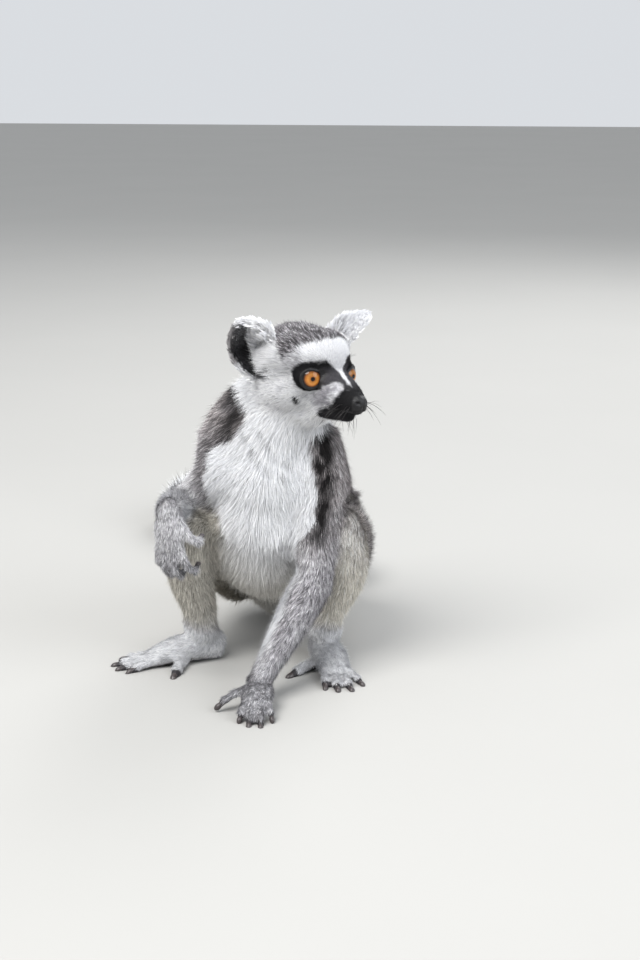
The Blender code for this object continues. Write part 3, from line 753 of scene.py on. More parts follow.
def trunk_tone(co):
    """White front, charcoal and painted shade along its edge at the shoulders, taupe back."""
    near = BACK_LINE.nearest(co)
    number = 7 - near.number / WAY_STEPS      # the section of the spine, from 0 at the rump
    belly_way = unit(np.cross(np.array([[1.0, 0, 0]]), -near.ahead))
    off = co - near.foot
    # degrees round the trunk from the middle of the front
    turn = np.degrees(np.arctan2(off[:, 0], (off * belly_way).sum(1)))
    sections = (0, 2, 3, 3.7, 4.3, 4.8, 5.2, 5.6, 6.0, 6.6, 7)
    left = np.interp(number, sections, (95, 92, 82, 66, 58, 54, 48, 50, 58, 68, 78))
    right = np.interp(number, sections, (95, 92, 84, 76, 68, 60, 50, 50, 54, 62, 70))
    stray = wander(co)
    beyond = np.where(turn > 0, turn - left, -turn - right) + stray * 6
    colour = all_over(TAUPE, co)
    colour = lay(colour, ASH, step(-0.3, 0.7, grain(co, 14 * MM, 3)) * 0.8)
    colour = lay(colour, CHARCOAL, step(150, 180, np.abs(turn)) * step(2.5, 4.5, number) * 0.25)
    nape = step(4.6, 5.6, number)
    colour = lay(colour, CHARCOAL, nape * step(34, 3, beyond) * 0.25)
    # painted light: the left flank and shoulder of the trunk are lightened
    colour = colour * (1 + 0.40 * step(0.030, 0.045, co[:, 0]))[:, None]
    # charcoal beside the white front, partly the coat's own colour and partly painted shade
    colour = lay(colour, CHARCOAL * 0.2, shoulder_charcoal_and_shade(co))
    front = step(-0.085, -0.097, co[:, 1]) * step(0.086, 0.096, co[:, 2])
    soft = 4 + 16 * step(3.6, 2.2, number)
    white = np.clip(0.5 - beyond / (2 * soft), 0, 1) * (1 - front)
    white += step(1.6, -1.6, front_edge(co) + stray * 3) * front
    # the lower belly is cream, darkened further as painted shade
    pale = lay(all_over(WHITE, co), CREAM * 0.72, step(4.2, 3.0, number) * 0.8)
    colour = lay(colour, pale, white)
    # painted shade in the folds of the coat where throat meets chest
    for fold in THROAT_FOLD_SHADE:
        fold_shade = np.exp(-((fold.nearest(co).gap / (1.3 * MM)) ** 2)) * step(-0.35, 0.15, grain(co, 4 * MM, 5))
        colour = lay(colour, CHARCOAL, fold_shade * white * 0.6)
    return colour, 0.60 - 0.52 * white


def facing(co, near, outward):
    """How far each point of a limb faces outward, from -1 to 1, seen from the limb's middle line."""
    return unit(co - near.foot) @ unit(np.array([outward]))[0]


def arm_tone(co, side):
    """Mottled ash: the planted arm is white inside and darker above, its taupe carrying painted shade on the
    upper arm and painted light at the shoulder; the raised one paler, its forearm lightened further as
    painted light.
    """
    near = ARM_LINES[side].nearest(co)
    number, face = near.number, facing(co, near, (1.0, -0.25, 0.25) if side > 0 else (-0.75, -0.35, 0.6))
    tone = all_over(ASH, co)
    tone = lay(tone, PALE, step(0.0, 0.7, grain(co, 9 * MM, 6)) * 0.45 + 0.12)
    upper = step(10, 3, number)
    if side > 0:
        tone = lay(tone, CHARCOAL, step(0.0, 0.9, grain(co * [1, 1, 0.6], 6 * MM, 7)) * 0.20)
        # painted shade and light: the planted arm's taupe is darkened on the upper arm and lightened at the
        # shoulder
        high = step(0.112, 0.130, co[:, 2])
        tone = lay(tone, TAUPE * 0.75, upper * 0.85 * (1 - high))
        tone = lay(tone, TAUPE * 1.25, upper * 0.85 * high)
    else:
        tone = lay(tone, TAUPE, upper * 0.45)
        # the forearm and elbow are pale, lightened further as painted light
        tone = lay(tone, PALE * 1.15, step(1, 6, number) * 0.9)
    # charcoal beside the white front, partly the coat's own colour and partly painted shade
    tone = lay(tone, CHARCOAL * 0.22, shoulder_charcoal_and_shade(co) * step(9, 5, number))
    high = step(-0.085, -0.097, co[:, 1]) * step(0.094, 0.102, co[:, 2])
    stray = wander(co)
    inner = step(1.6, -1.6, front_edge(co) + stray * 3) * high * step(10, 7, number)
    if side > 0:
        strip = co[:, 0] / MM - np.interp(co[:, 2] / MM, *INNER_ARM)
        strip = step(2, -2, strip + stray * 3) * step(0.5, -0.1, face) * step(0.025, 0.035, co[:, 2])
        inner = np.maximum(inner, strip * (1 - high))
    else:
        inner = np.maximum(inner, step(-0.5, -0.9, face + stray * 0.15))
    tone = lay(tone, WHITE, inner * 0.95)
    return tone, 0.60 - 0.50 * inner


def leg_tone(co, side):
    """Cream inside and ash to taupe outside, down to a white foot. The right leg's cream is darkened as
    painted shade, except at the knee.
    """
    near = LEG_LINES[side].nearest(co)
    number, face = near.number, facing(co, near, (side, -0.15, 0.35)) + wander(co) * 0.25
    # the right leg's cream is darkened as painted shade
    tone = all_over(CREAM * (0.92 if side > 0 else 0.68), co)
    outer = (step(-0.55, 0.25, face) if side > 0 else step(-0.05, 0.6, face)) * step(15, 7, number)
    tone = lay(tone, ASH, outer * 0.8)
    tone = lay(tone, TAUPE, outer * step(-0.1, 0.6, grain(co, 11 * MM, 8)) * 0.8)
    tone = lay(tone, CHARCOAL, outer * step(0.1, 0.8, grain(co, 5 * MM, 9)) * 0.45)
    tone = lay(tone, CREAM * 0.9, step(0.15, 0.75, grain(co, 10 * MM, 10)) * 0.6)
    tone = lay(tone, WHITE, step(16, 21, number) * 0.6)
    if side > 0:
        # painted light on the outer left thigh and hip
        tone = tone * (1 + 0.25 * step(0.045, 0.060, co[:, 0]) * step(0.07, 0.09, co[:, 2]))[:, None]
    else:
        # the knee keeps the full cream, out of the painted shade of the right leg
        tone = lay(tone, CREAM, np.exp(-(((number - 5) / 1.8) ** 2)) * (1 - 0.85 * outer) * 0.9)
    return tone, 0.26 + 0.34 * outer


def paw_tone(co, feet):
    """Pale hands and whiter feet. feet is 1 on a foot and 0 on a hand."""
    tone = all_over(PALE, co)
    tone = lay(tone, WHITE, feet * 0.8)
    tone = lay(tone, ASH, step(-0.2, 0.7, grain(co, 4 * MM, 11)) * (0.5 - 0.25 * feet))
    tone = lay(tone, CHARCOAL, step(0.3, 0.9, grain(co, 2 * MM, 12)) * (0.22 - 0.14 * feet))
    knuckle = step(0.104, 0.092, co[:, 2]) * step(-0.145, -0.155, co[:, 1]) * step(-0.035, -0.045, co[:, 0])
    tone = tone * (1 - 0.45 * knuckle * (1 - feet))[:, None]
    tone = tone * (1 - 0.34 * (1 - feet) * step(0.055, 0.025, co[:, 2]))[:, None]
    return tone, 0.50 - 0.22 * feet


def tail_tone(co):
    """An ash root, then white and dark rings, and a dark tip."""
    run = TAIL_LINE.nearest(co).run
    ring = (run + wander(co) * 1.1 * MM) / TAIL_LENGTH * TAIL_RINGS
    dark = step(-0.10, 0.14, -np.cos(np.pi * (ring + 0.5)))
    dark = np.maximum(dark, step(0.955, 0.965, run / TAIL_LENGTH))
    band = lay(all_over(WHITE * 0.96, co), SOOT, dark)
    root = step(0.030, 0.008, run)
    return lay(band, ASH, root), 0.08 + 0.2 * root


def head_tone(co):
    """White brow, blaze and cheeks, black eye patches and muzzle, lilac beside the nose, a speckled crown."""
    around, leftward, above = head_angles(in_head(co))
    leaning = leftward - np.interp(above, *BLAZE_MIDDLE)
    jitter = fine_wander(co)
    tone = all_over(SNOW, co)
    grey_cheek = step(0.1, 0.8, grain(co, 3.5 * MM, 15)) * 0.22 + 0.02
    tone = lay(tone, ASH, grey_cheek * step(-60, -25, above))
    temple = step(50, 62, around) * step(100, 88, around) * step(12, 22, above) * step(42, 34, above)
    tone = lay(tone, ASH, temple * (0.30 + 0.4 * step(-0.2, 0.6, grain(co, 2 * MM, 17))))
    lilac = step(-5, 6, inside(FUZZ, around, above) + jitter * 7)
    tone = lay(tone, LILAC, lilac * (0.88 - 0.75 * step(24, 46, around)))
    edge = np.interp(around, *zip(*CROWN_EDGE))
    crown = step(-3, 4, above - edge + jitter * 4)
    tone = lay(tone, ASH * 0.55, crown)
    tone = lay(tone, SOOT * 2, crown * step(0.0, 0.45, grain(co, 2.0 * MM, 33)) * 0.75)
    tone = lay(tone, PALE, crown * step(0.2, 0.6, grain(co, 1.8 * MM, 34)) * 0.3)
    tone = lay(tone, CHARCOAL, crown * (0.25 + 0.25 * step(-0.2, 0.7, grain(co, 6 * MM, 16))))
    tone = lay(tone, PALE, crown * step(98, 125, around) * step(40, 20, above) * 0.4)
    # the small dark spot on the cheek, a leaning lozenge
    spot = np.abs(around - 68 - (above + 33) * 0.16) / 3.0
    spot = np.maximum(spot, np.abs(above + 33) / 8)
    tone = lay(tone, SOOT, step(1.3, 0.8, spot + jitter * 0.3))
    patch = np.maximum(inside(PATCH, around, above), inside(SNOUT, around, above))
    black = step(-1.2, 1.2, patch + jitter * 1.2)
    bridge = step(34, 20, around) * step(-6, 2, above) * step(24, 14, above)
    tone = lay(tone, SOOT + (LILAC * 0.20) * bridge[:, None], black)
    blaze = step(-1.4, 1.6, inside(BLAZE, np.abs(leaning), above) + jitter * 1.4)
    tone = lay(tone, SNOW, blaze)
    streaky = 0.18 * (1 - crown) + 0.85 * crown
    streaky = streaky * (1 - black) + 0.12 * black
    streaky *= 1 - 0.8 * blaze
    return tone, streaky


def ear_tone(co, normal, side):
    """Colour and fleck of an ear, and how far each point belongs to it: a dark hollow inside white fur."""
    q = in_head(co)
    across, up = ear_place(q, side)
    jitter = fine_wander(co)
    inward = np.array(ear_axes(side)[3])
    front = step(-0.75, -0.35, -(normal @ HEAD_TURN * [side, 1, 1]) @ inward)
    hollow = step(-0.05, 0.06, inside(HOLLOW, across, up) + jitter * 0.07) * front
    tone = all_over(SNOW, co)
    tone = lay(tone, PALE, (1 - front) * 0.15)
    rim = step(0.78, 0.95, np.hypot(across, up * 0.95)) * step(0.1, 0.35, across) * step(-0.35, -0.05, up)
    tone = lay(tone, TAUPE * 0.7, rim * 0.75)
    tone = lay(tone, SOOT * 1.3, hollow * (0.97 - 0.25 * step(0.1, 0.9, up)))
    base = step(0.35, 0.1, np.hypot((across + 0.30) / 1.2, up + 0.80)) * step(0.0, 0.5, grain(co, 2 * MM, 18))
    tone = lay(tone, SOOT * 1.5, base * front * 0.9)
    front_fur = step(-1.15, -0.95, across) * step(0.3, 0.1, across)
    reach = np.maximum(step(-0.10, 0.05, inside(HOLLOW, across, up)), front_fur)
    reach *= front * step(-1.02, -0.90, up) * step(1.3, 1.05, np.hypot(across, up * 0.9))
    reach *= step(24, 26.5, q[:, 0] * side)
    return tone, 0.10 + 0.25 * hollow, reach


def markings(co, normal, share):
    """Colour and fleck of the coat at any points: fleck is how far single hairs stray from light to dark."""
    colour, fleck = np.tile(TAUPE, (len(co), 1)), np.full(len(co), 0.3)

    def put(amount, tone_of):
        on = np.nonzero(amount > 0.01)[0]
        if len(on):
            tone, stray = tone_of(on)
            colour[on] = lay(colour[on], tone, amount[on])
            fleck[on] += (stray - fleck[on]) * np.clip(amount[on], 0, 1)

    put(of_regions(share, *TRUNK) * 50, lambda on: trunk_tone(co[on]))
    for side, word in WORD.items():
        arm = of_regions(share, "upper_arm_" + word, "forearm_" + word)
        leg = of_regions(share, "thigh_" + word, "shank_" + word)
        put(arm * 1.15, lambda on: arm_tone(co[on], side))
        put(leg * 1.15, lambda on: leg_tone(co[on], side))
    feet = of_regions(share, "foot")
    put(of_regions(share, "hand", "foot") * 1.1, lambda on: paw_tone(co[on], feet[on]))
    put(step(0.35, 0.65, of_regions(share, "tail")), lambda on: tail_tone(co[on]))
    put(step(0.25, 0.75, of_regions(share, "head")), lambda on: head_tone(co[on]))
    head = of_regions(share, "head")
    for side, word in WORD.items():
        ear = of_regions(share, "ear_" + word)
        near = np.nonzero((ear > 0.01) | ((head > 0.2) & (in_head(co)[:, 0] * side > 24)))[0]
        tone, stray, reach = ear_tone(co[near], normal[near], side)
        amount = np.maximum(step(0.3, 0.7, ear[near]), reach * (head[near] > 0.1))
        colour[near] = lay(colour[near], tone, amount)
        fleck[near] += (stray - fleck[near]) * amount
    mottle = grain(co, 1.7 * MM, 30) * 0.6 + grain(co, 0.9 * MM, 31) * 0.5
    colour = colour * np.exp(mottle * fleck * 1.5)[:, None]
    return np.clip(colour, 0.004, 0.95), np.clip(fleck, 0.03, 0.9)


# ---------------------------------------------------------------- skin
def flesh():
    """Every form of the animal melted into one closed skin, before its coat's depth comes off."""
    bm = bmesh.new()
    add_trunk(bm)
    add_head(bm)
    add_tail(bm)
    for side in (1, -1):
        add_limbs(bm, side)
        add_ear(bm, side)
    skin = object_of(bm, "skin")
    melt = skin.modifiers.new("melt", "REMESH")
    melt.mode = "VOXEL"
    melt.voxel_size = 1.2 * MM
    return frozen(skin)


def keep_group(skin, name, weight):
    """A vertex group holding these weights in a few steps."""
    group = skin.vertex_groups.new(name=name)
    steps = 8
    level = np.round(np.clip(weight, 0, 1) * steps).astype(int)
    for k in range(1, steps + 1):
        group.add(np.nonzero(level == k)[0].tolist(), k / steps, "REPLACE")


def soften(skin, name, times, factor=0.5):
    """Smooths the surface where the vertex group says so."""
    smooth = skin.modifiers.new("smooth_" + name, "SMOOTH")
    smooth.factor, smooth.iterations, smooth.vertex_group = factor, times, name


def finer_face(skin):
    """Splits the faces of the muzzle, mouth and eyes, so that lids and nostrils have an edge."""
    bm = bmesh.new()
    bm.from_mesh(skin.data)
    inverse = HEAD_FRAME.inverted()
    edges = set()
    for f in bm.faces:
        q = inverse @ f.calc_center_median() / MM
        by_eye = (Vector((abs(q.x), q.y, q.z)) - Vector(EYE_SEAT)).length < 13
        by_mouth = q.y < -30 and -30 < q.z < -14
        if by_eye or by_mouth or q.y < -46:
            edges.update(f.edges)
    bmesh.ops.subdivide_edges(bm, edges=list(edges), cuts=1, use_grid_fill=True)
    bmesh.ops.triangulate(bm, faces=[f for f in bm.faces if len(f.verts) > 4])
    bm.to_mesh(skin.data)
    bm.free()
    skin.data.shade_smooth()


MOUTH = Way([Vector(p) for p in (
    (0, -67.2, -19.6), (3.2, -65.0, -20.2), (6.2, -60.0, -20.6), (8.8, -52.5, -21.6), (10.6, -44.0, -22.8),
    (11.6, -37.0, -23.6), (12.0, -32.5, -23.4),
)])


def sculpt_lids(q, side):
    """Draws the skin round an eyeball into lids that open towards where the eye looks."""
    radius = EYE_RADIUS / MM
    gaze = np.array([side * math.sin(EYE_TURN), -math.cos(EYE_TURN), 0.03])
    gaze /= np.linalg.norm(gaze)
    off = q - np.array(EYE_PLACE[side]) / MM
    far = np.linalg.norm(off, axis=1)
    way = off / far[:, None]
    turn = np.degrees(np.arccos(np.clip(way @ gaze, -1, 1)))
    noseward = np.array([-side * math.cos(EYE_TURN), -math.sin(EYE_TURN), 0.0])
    inner, height = way @ noseward, way[:, 2]
    reach = np.maximum(np.hypot(inner, height), 1e-6)
    # degrees from the gaze to the lids' edge, which is wider at the nose and lower above
    opening = 45.0 + 7.0 * step(0.55, 0.95, inner / reach) - 6.5 * step(0.4, 1.0, height / reach)
    past = turn - opening
    lid = radius + 0.75 + 0.55 * np.exp(-(((past - 7) / 5) ** 2))
    target = np.where(past < 0, radius + 0.55 - 2.4 * step(0, -5.0, past), lid)
    blend = step(40, 12, past) * step(18, 13.5, far) * (turn < 95)
    q = q + way * ((target - far) * blend)[:, None]
    # a shallow fold above the upper lid
    fold = np.exp(-(((past - 17) / 3.0) ** 2)) * step(0.1, 0.6, height) * (far < 20)
    q = q - way * (fold * 0.45)[:, None]
    # dark bump of the brow towards the nose
    q = q + way * (soft_bump(q, [side * 8.5, -39.5, 9.0], 3.2) * 0.3)[:, None]
    return q, step(11, 5, past) * (far < 16)


def sculpt_nostril(q, side):
    """The wing of the nose and the slit below it."""
    wing = soft_bump(q, [side * 4.6, -64.8, -13.2], 1.9)
    q = q + np.array([side * 0.55, -0.1, 0.25]) * wing[:, None]
    x, y, z = (q - np.array([side * 3.7, -67.2, -13.6])).T
    along, up = x * 0.85 + side * z * 0.5, z * 0.85 - side * x * 0.5
    hole = np.exp(-((along / 1.35) ** 2 + (y / 2.4) ** 2 + (up / 0.85) ** 2))
    return q + np.array([-side * 0.5, 1.9, 0.1]) * hole[:, None]


def sculpt_face(q):
    """Lids, brow, nose and mouth. Returns the points in the head's own frame, and how bare each is."""
    bare = np.zeros(len(q))
    for side in (1, -1):
        q, lids = sculpt_lids(q, side)
        bare = np.maximum(bare, lids)
        q = sculpt_nostril(q, side)
    # groove under the nose
    drop = np.exp(-((q[:, 0] / 0.55) ** 2)) * step(-14.8, -16.0, q[:, 2]) * step(-21, -19.5, q[:, 2])
    q = q + np.array([0, 0.6, 0]) * (drop * (q[:, 1] < -60))[:, None]
    # mouth line, with the upper lip rolled over it
    near = MOUTH.nearest(np.column_stack([np.abs(q[:, 0]), q[:, 1:]]))
    axis = np.stack([np.zeros(len(q)), q[:, 1], np.interp(q[:, 1], (-68, -45, -30), (-19, -19, -20))], 1)
    inward = unit(axis - q)
    front = (q[:, 1] < -30) & (q[:, 2] > -34)
    q = q + inward * (np.exp(-((near.gap / 0.62) ** 2)) * 1.25 * front)[:, None]
    lip = q[:, 2] - near.foot[:, 2]
    q = q - inward * (np.exp(-((lip - 1.5) ** 2)) * 0.45 * (near.gap < 3.2) * front)[:, None]
    bare = np.maximum(bare, np.exp(-((near.gap / 1.5) ** 2)) * front)
    nose = step(-62.5, -65.0, q[:, 1]) * step(-19.5, -17.5, q[:, 2]) * step(-8.0, -9.6, q[:, 2])
    bare = np.maximum(bare, nose)
    # the muzzle is drawn back a little towards its point
    return q + np.array([0, 2.6, 0]) * step(-50, -69, q[:, 1])[:, None], bare


def head_depth(q):
    """How deep the coat is on the head: nothing on the nose, most on crown and cheeks."""
    along = np.interp(q[:, 1], (-66, -60, -48, -36, -15, 30), (0.0, 0.35, 0.7, 1.0, 1.9, 2.4))
    return along * (0.35 + 0.65 * step(9, 17, eye_gap(q)))


def soften_flesh(skin, share, web):
    """Smooths trunk and limbs, and keeps face, ears and paws sharp. Returns how sharp each point is."""
    co, head = points_of(skin.data), of_regions(share, "head")
    q = in_head(co)
    sharp = np.clip(of_regions(share, "hand", "foot", "ear"), 0, 1)
    sharp = np.maximum(sharp, step(-38, -50, q[:, 1]) * head * 0.8)
    sharp, heady = web.spread(np.stack([sharp, head], 1), 8).T
    face = heady * step(14, -2, q[:, 1] + 0.6 * q[:, 2])
    put_points(skin.data, web.spread(co, 2, 0.4))
    keep_group(skin, "body", 1 - np.clip(np.maximum(sharp, face * 0.75) * 1.2, 0, 1))
    core = web.spread(of_regions(share, *TRUNK)[:, None], 8)[:, 0]
    keep_group(skin, "trunk", core * (1 - sharp) * 1.3)
    keep_group(skin, "detail", sharp)
    soften(skin, "body", 45, 0.7)
    soften(skin, "trunk", 170, 0.8)
    soften(skin, "detail", 2)
    frozen(skin)
    return sharp


def take_off_coat(skin, share, web, sharp):
    """Moves the skin inward by the depth of its coat, and less where it rests on the floor."""
    mesh = skin.data
    co, head = points_of(mesh), of_regions(share, "head")
    depth = measure(share, DEPTH) * MM * (1 - head) + head_depth(in_head(co)) * MM * head
    depth = web.spread(depth[:, None], 14)
    normal = unit(web.spread(normals_of(mesh), 5))
    standing = step(0.0, 4 * MM, co[:, 2])[:, None]
    co = co - normal * depth * (0.25 + 0.75 * standing)
    co = web.ease(co, 5, keep=sharp)
    co[:, 2] = np.maximum(co[:, 2], 0.15 * MM)
    put_points(mesh, co)


def thin_covered(skin, share, web):
    """The parts under a deep coat need few faces."""
    covered = 1 - np.clip(of_regions(share, "head", "hand", "foot", "ear"), 0, 1)
    keep_group(skin, "covered", (web.spread(covered[:, None], 4)[:, 0] > 0.55) * 1.0)
    thin = skin.modifiers.new("thin", "DECIMATE")
    thin.ratio = 0.33
    thin.vertex_group = "covered"
    thin.vertex_group_factor = 10.0
    frozen(skin)
    skin.vertex_groups.clear()


def shape_face(skin, web):
    """Carves the face into the skin. Returns how bare each point is."""
    co = points_of(skin.data)
    q = in_head(co)
    near = (q[:, 1] < -12) & (np.abs(q[:, 0]) < 34) & (np.abs(q[:, 2]) < 40)
    co[near] = web.ease(co, 3)[near]
    shaped, bare = sculpt_face(in_head(co[near]))
    co[near] = shaped * MM @ HEAD_TURN.T + HEAD_AT
    bald = np.zeros(len(co))
    bald[near] = bare
    put_points(skin.data, co)
    return bald


def bare_paws(co, normal, share):
    """How bare the palms, the soles and the last joints of fingers and toes are."""
    bald = np.zeros(len(co))
    for side, word in WORD.items():
        for digit in digits_of(side):
            joints = Way([digit.place @ p for p in digit.way])
            near = joints.nearest(co)
            on = (near.gap < digit.radius * 1.35) & (of_regions(share, "hand", "foot") > 0.4)
            under = step(-0.15, -0.6, normal @ np.array(digit.place.to_3x3() @ UP))
            tip = step(joints.run[-1] * 0.72, joints.run[-1] * 0.95, near.run)
            bald = np.maximum(bald, np.maximum(under, tip * 0.9) * on)
        hand, foot, _ = paws_of(side)
        for place, paw in ((hand, "hand_" + word), (foot, "foot_" + word)):
            under = step(-0.35, -0.75, normal @ np.array(place.to_3x3() @ UP))
            bald = np.maximum(bald, under * step(0.5, 0.8, of_regions(share, paw)))
    return bald


def make_skin():
    """The whole skin, who touches whom on it, each point's share of the regions, and how bare it is."""
    skin = flesh()
    share, web = regions_at(points_of(skin.data)), Web(skin.data)
    sharp = soften_flesh(skin, share, web)
    take_off_coat(skin, share, web, sharp)
    thin_covered(skin, share, web)
    finer_face(skin)
    web = Web(skin.data)
    bald = shape_face(skin, web)
    co, normal = points_of(skin.data), normals_of(skin.data)
    share = web.spread(regions_at(co), 12)
    return skin, web, share, np.maximum(bald, bare_paws(co, normal, share))


# ---------------------------------------------------------------- the lie of the coat
def lie_of_coat(co, normal, share, web):
    """Which way the hair lies at each point: back from the nose, down the trunk, out along limbs and tail."""
    q = in_head(co)
    total = np.zeros_like(co)
    from_nose = q - np.array([0.0, -60.0, -8.0])
    from_nose[:, 2] -= 6 * step(-40, -10, q[:, 1])
    total += unit(from_nose) @ HEAD_TURN.T * of_regions(share, "head")[:, None]
    for side, word in WORD.items():
        _, length, across, _ = (np.array(v) for v in ear_axes(side))
        fan = (ear_place(q, side)[0] * 0.5 + 0.25)[:, None]
        way = (length / np.linalg.norm(length))[None, :] + (across / np.linalg.norm(across))[None, :] * fan
        total += unit(way * [side, 1, 1]) @ HEAD_TURN.T * of_regions(share, "ear_" + word)[:, None]
    total += BACK_LINE.nearest(co).ahead * of_regions(share, *TRUNK)[:, None]
    total += TAIL_LINE.nearest(co).ahead * of_regions(share, "tail")[:, None]
    limbs = ((ARM_LINES, ("upper_arm", "forearm", "hand")), (LEG_LINES, ("thigh", "shank", "foot")))
    for side, word in WORD.items():
        for lines, parts in limbs:
            limb = of_regions(share, *(part + "_" + word for part in parts))
            total += lines[side].nearest(co).ahead * limb[:, None]
    for _ in range(3):
        total = total - normal * (total * normal).sum(1, keepdims=True)
        total = web.spread(unit(total), 5)
    total = total - normal * (total * normal).sum(1, keepdims=True)
    return unit(total)


# ---------------------------------------------------------------- tufts
EVEN_STRIDES = ((0.7548776662, 0.5), (0.5698402910, 0.25))     # these fill a square evenly, step by step


class Cover:
    """The skin's triangles with everything a tuft needs to know about its root."""

    def __init__(self, skin, web, share, bald):
        mesh = skin.data
        mesh.calc_loop_triangles()
        self.tri = np.empty(len(mesh.loop_triangles) * 3, np.int32)
        mesh.loop_triangles.foreach_get("vertices", self.tri)
        self.tri = self.tri.reshape(-1, 3)
        loops = np.empty(len(mesh.loop_triangles) * 3, np.int32)
        mesh.loop_triangles.foreach_get("loops", loops)
        uv = np.empty(len(mesh.loops) * 2, np.float32)
        mesh.uv_layers["OFBake"].data.foreach_get("uv", uv)
        self.uv = uv.reshape(-1, 2)[loops.reshape(-1, 3)]
        self.co = points_of(mesh)
        self.normal = normals_of(mesh)
        self.share, self.bald = share, bald
        self.lie = lie_of_coat(self.co, self.normal, share, web)
        q = in_head(self.co)
        head = of_regions(share, "head")
        # the hair of the face is shorter towards the nose and the eyes
        snout = np.interp(q[:, 1], (-64, -50, -40, -26, 0, 20), (0.24, 0.34, 0.50, 0.72, 1.0, 1.25))
        snout *= 0.5 + 0.5 * step(9, 18, eye_gap(q))
        size = snout * head + (1 - head)
        self.length = measure(share, LENGTH) * MM * size
        self.width = measure(share, WIDTH) * MM * (0.55 + 0.45 * size)
        self.lift = np.radians(measure(share, LIFT))
        self.length *= 0.35 + 0.65 * step(0, 6 * MM, self.co[:, 2])
        # long hair fringes the front edge of each ear
        for side, word in WORD.items():
            across, up = ear_place(q, side)
            near = (q[:, 0] * side > 25) * step(-1.05, -0.85, up) * step(1.1, 0.9, np.abs(across))
            near *= step(-2, 1, q[:, 1] + 14)
            fringe = step(0.30, -0.1, across) * near * np.clip(head + of_regions(share, "ear_" + word), 0, 1)
            fringe *= 1 - 0.75 * step(0.25, 0.85, up)
            self.length += fringe * 5.0 * MM
            self.lift += fringe * math.radians(10)
        self.thick = measure(share, COUNT) * (1 + 0.8 * head * (1 - step(0.3, 0.8, snout)))
        self.thick *= step(0.65, 0.25, bald)
        a, b, c = (self.co[self.tri[:, k]] for k in range(3))
        self.area = np.linalg.norm(np.cross(b - a, c - a), axis=1) / 2 / MM**2

    def roots(self, rng, weight, most):
        """Even random places on the skin, weight being tufts per square millimetre at each vertex."""
        per = self.area * weight[self.tri].mean(1)
        run = np.cumsum(per)
        count = int(min(run[-1], most))
        at = (np.arange(count) + rng.random(count)) * run[-1] / count
        face = np.minimum(np.searchsorted(run, at), len(run) - 1)
        u, v = ((np.arange(count) * stride + start) % 1 for stride, start in EVEN_STRIDES)
        over = u + v > 1
        u[over], v[over] = 1 - u[over], 1 - v[over]
        return face, np.stack([1 - u - v, u, v], 1)

    def at(self, face, mix, *words):
        """The cover's values of these names at places on its triangles."""
        for word in words:
            corner = getattr(self, word)[self.tri[face]]
            yield (corner * mix.reshape(mix.shape + (1,) * (corner.ndim - 2))).sum(1)


def put_colour(mesh, colour):
    rgba = np.concatenate([colour, np.ones((len(colour), 1))], 1).astype(np.float32)
    mesh.color_attributes.new("coat", "FLOAT_COLOR", "POINT").data.foreach_set("color", rgba.ravel())


def put_vectors(mesh, name, vectors):
    held = mesh.attributes.new(name, "FLOAT_VECTOR", "POINT")
    held.data.foreach_set("vector", vectors.astype(np.float32).ravel())


def coat_object(name, parts, material, slot, stands_for):
    """Joins arrays of closed blades into one piece. Each has points, faces, colour, strand and bake place."""
    points, faces, colour, strand, place = (np.concatenate(column) for column in zip(*parts))
    first = np.cumsum([0] + [len(part[0]) for part in parts[:-1]])
    faces += np.repeat(first, [len(part[1]) for part in parts])[:, None]
    faces = faces.astype(np.int32)
    mesh = bpy.data.meshes.new(name)
    mesh.vertices.add(len(points))
    mesh.vertices.foreach_set("co", points.astype(np.float32).ravel())
    mesh.loops.add(len(faces) * 3)
    mesh.loops.foreach_set("vertex_index", faces.ravel())
    mesh.polygons.add(len(faces))
    mesh.polygons.foreach_set("loop_start", np.arange(0, len(faces) * 3, 3, dtype=np.int32))
    mesh.update(calc_edges=True)
    mesh.shade_flat()
    put_colour(mesh, colour)
    put_vectors(mesh, "strand", strand)
    uv = mesh.uv_layers.new(name="OFBake", do_init=False)
    uv.data.foreach_set("uv", place[faces.ravel()].astype(np.float32).ravel())
    mesh.materials.append(material)
    made = placed(name, mesh)
    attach(made, "root")
    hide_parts(*stands_for)


# a kind of blade: its faces, and for each corner how far along and across it is and its place on the bake map
Blade = namedtuple("Blade", "faces rise wide spots")
STRAIGHT = Blade(
    faces=np.array([(0, 1, 3), (1, 2, 3), (2, 0, 3), (1, 0, 2)]),
    rise=np.array([0, 0, 0, 1.0]),
    wide=np.array([0, 1, 0.5, 0.5]),
    spots=np.array([(-1.2, -1.2), (1.2, -1.2), (0, -1.5), (0, 1.5)]),
)
BENT = Blade(
    faces=np.array([(0, 1, 4), (0, 4, 3), (3, 4, 5), (1, 2, 4), (4, 2, 5), (2, 0, 3), (2, 3, 5), (1, 0, 2)]),
    rise=np.array([0, 0, 0, 0.5, 0.5, 1.0]),
    wide=np.array([0, 1, 0.5, 0.1, 0.9, 0.5]),
    spots=np.array([(-1.2, -1.2), (1.2, -1.2), (0, -1.5), (-0.9, 0.2), (0.9, 0.2), (0, 1.5)]),
)
SPOT_SIZE = 0.001                        # of the bake map's side
ROOT_DEPTH = 0.25 * MM                   # how far a blade starts inside the skin
BENT_LIFT = 0.15                         # what is left of a bent blade's lift in its outer half


def hair_way(normal, lie, lift):
    """The way of hair that stands up from its lie by lift, in radians."""
    return lie * np.cos(lift)[:, None] + normal * np.sin(lift)[:, None]


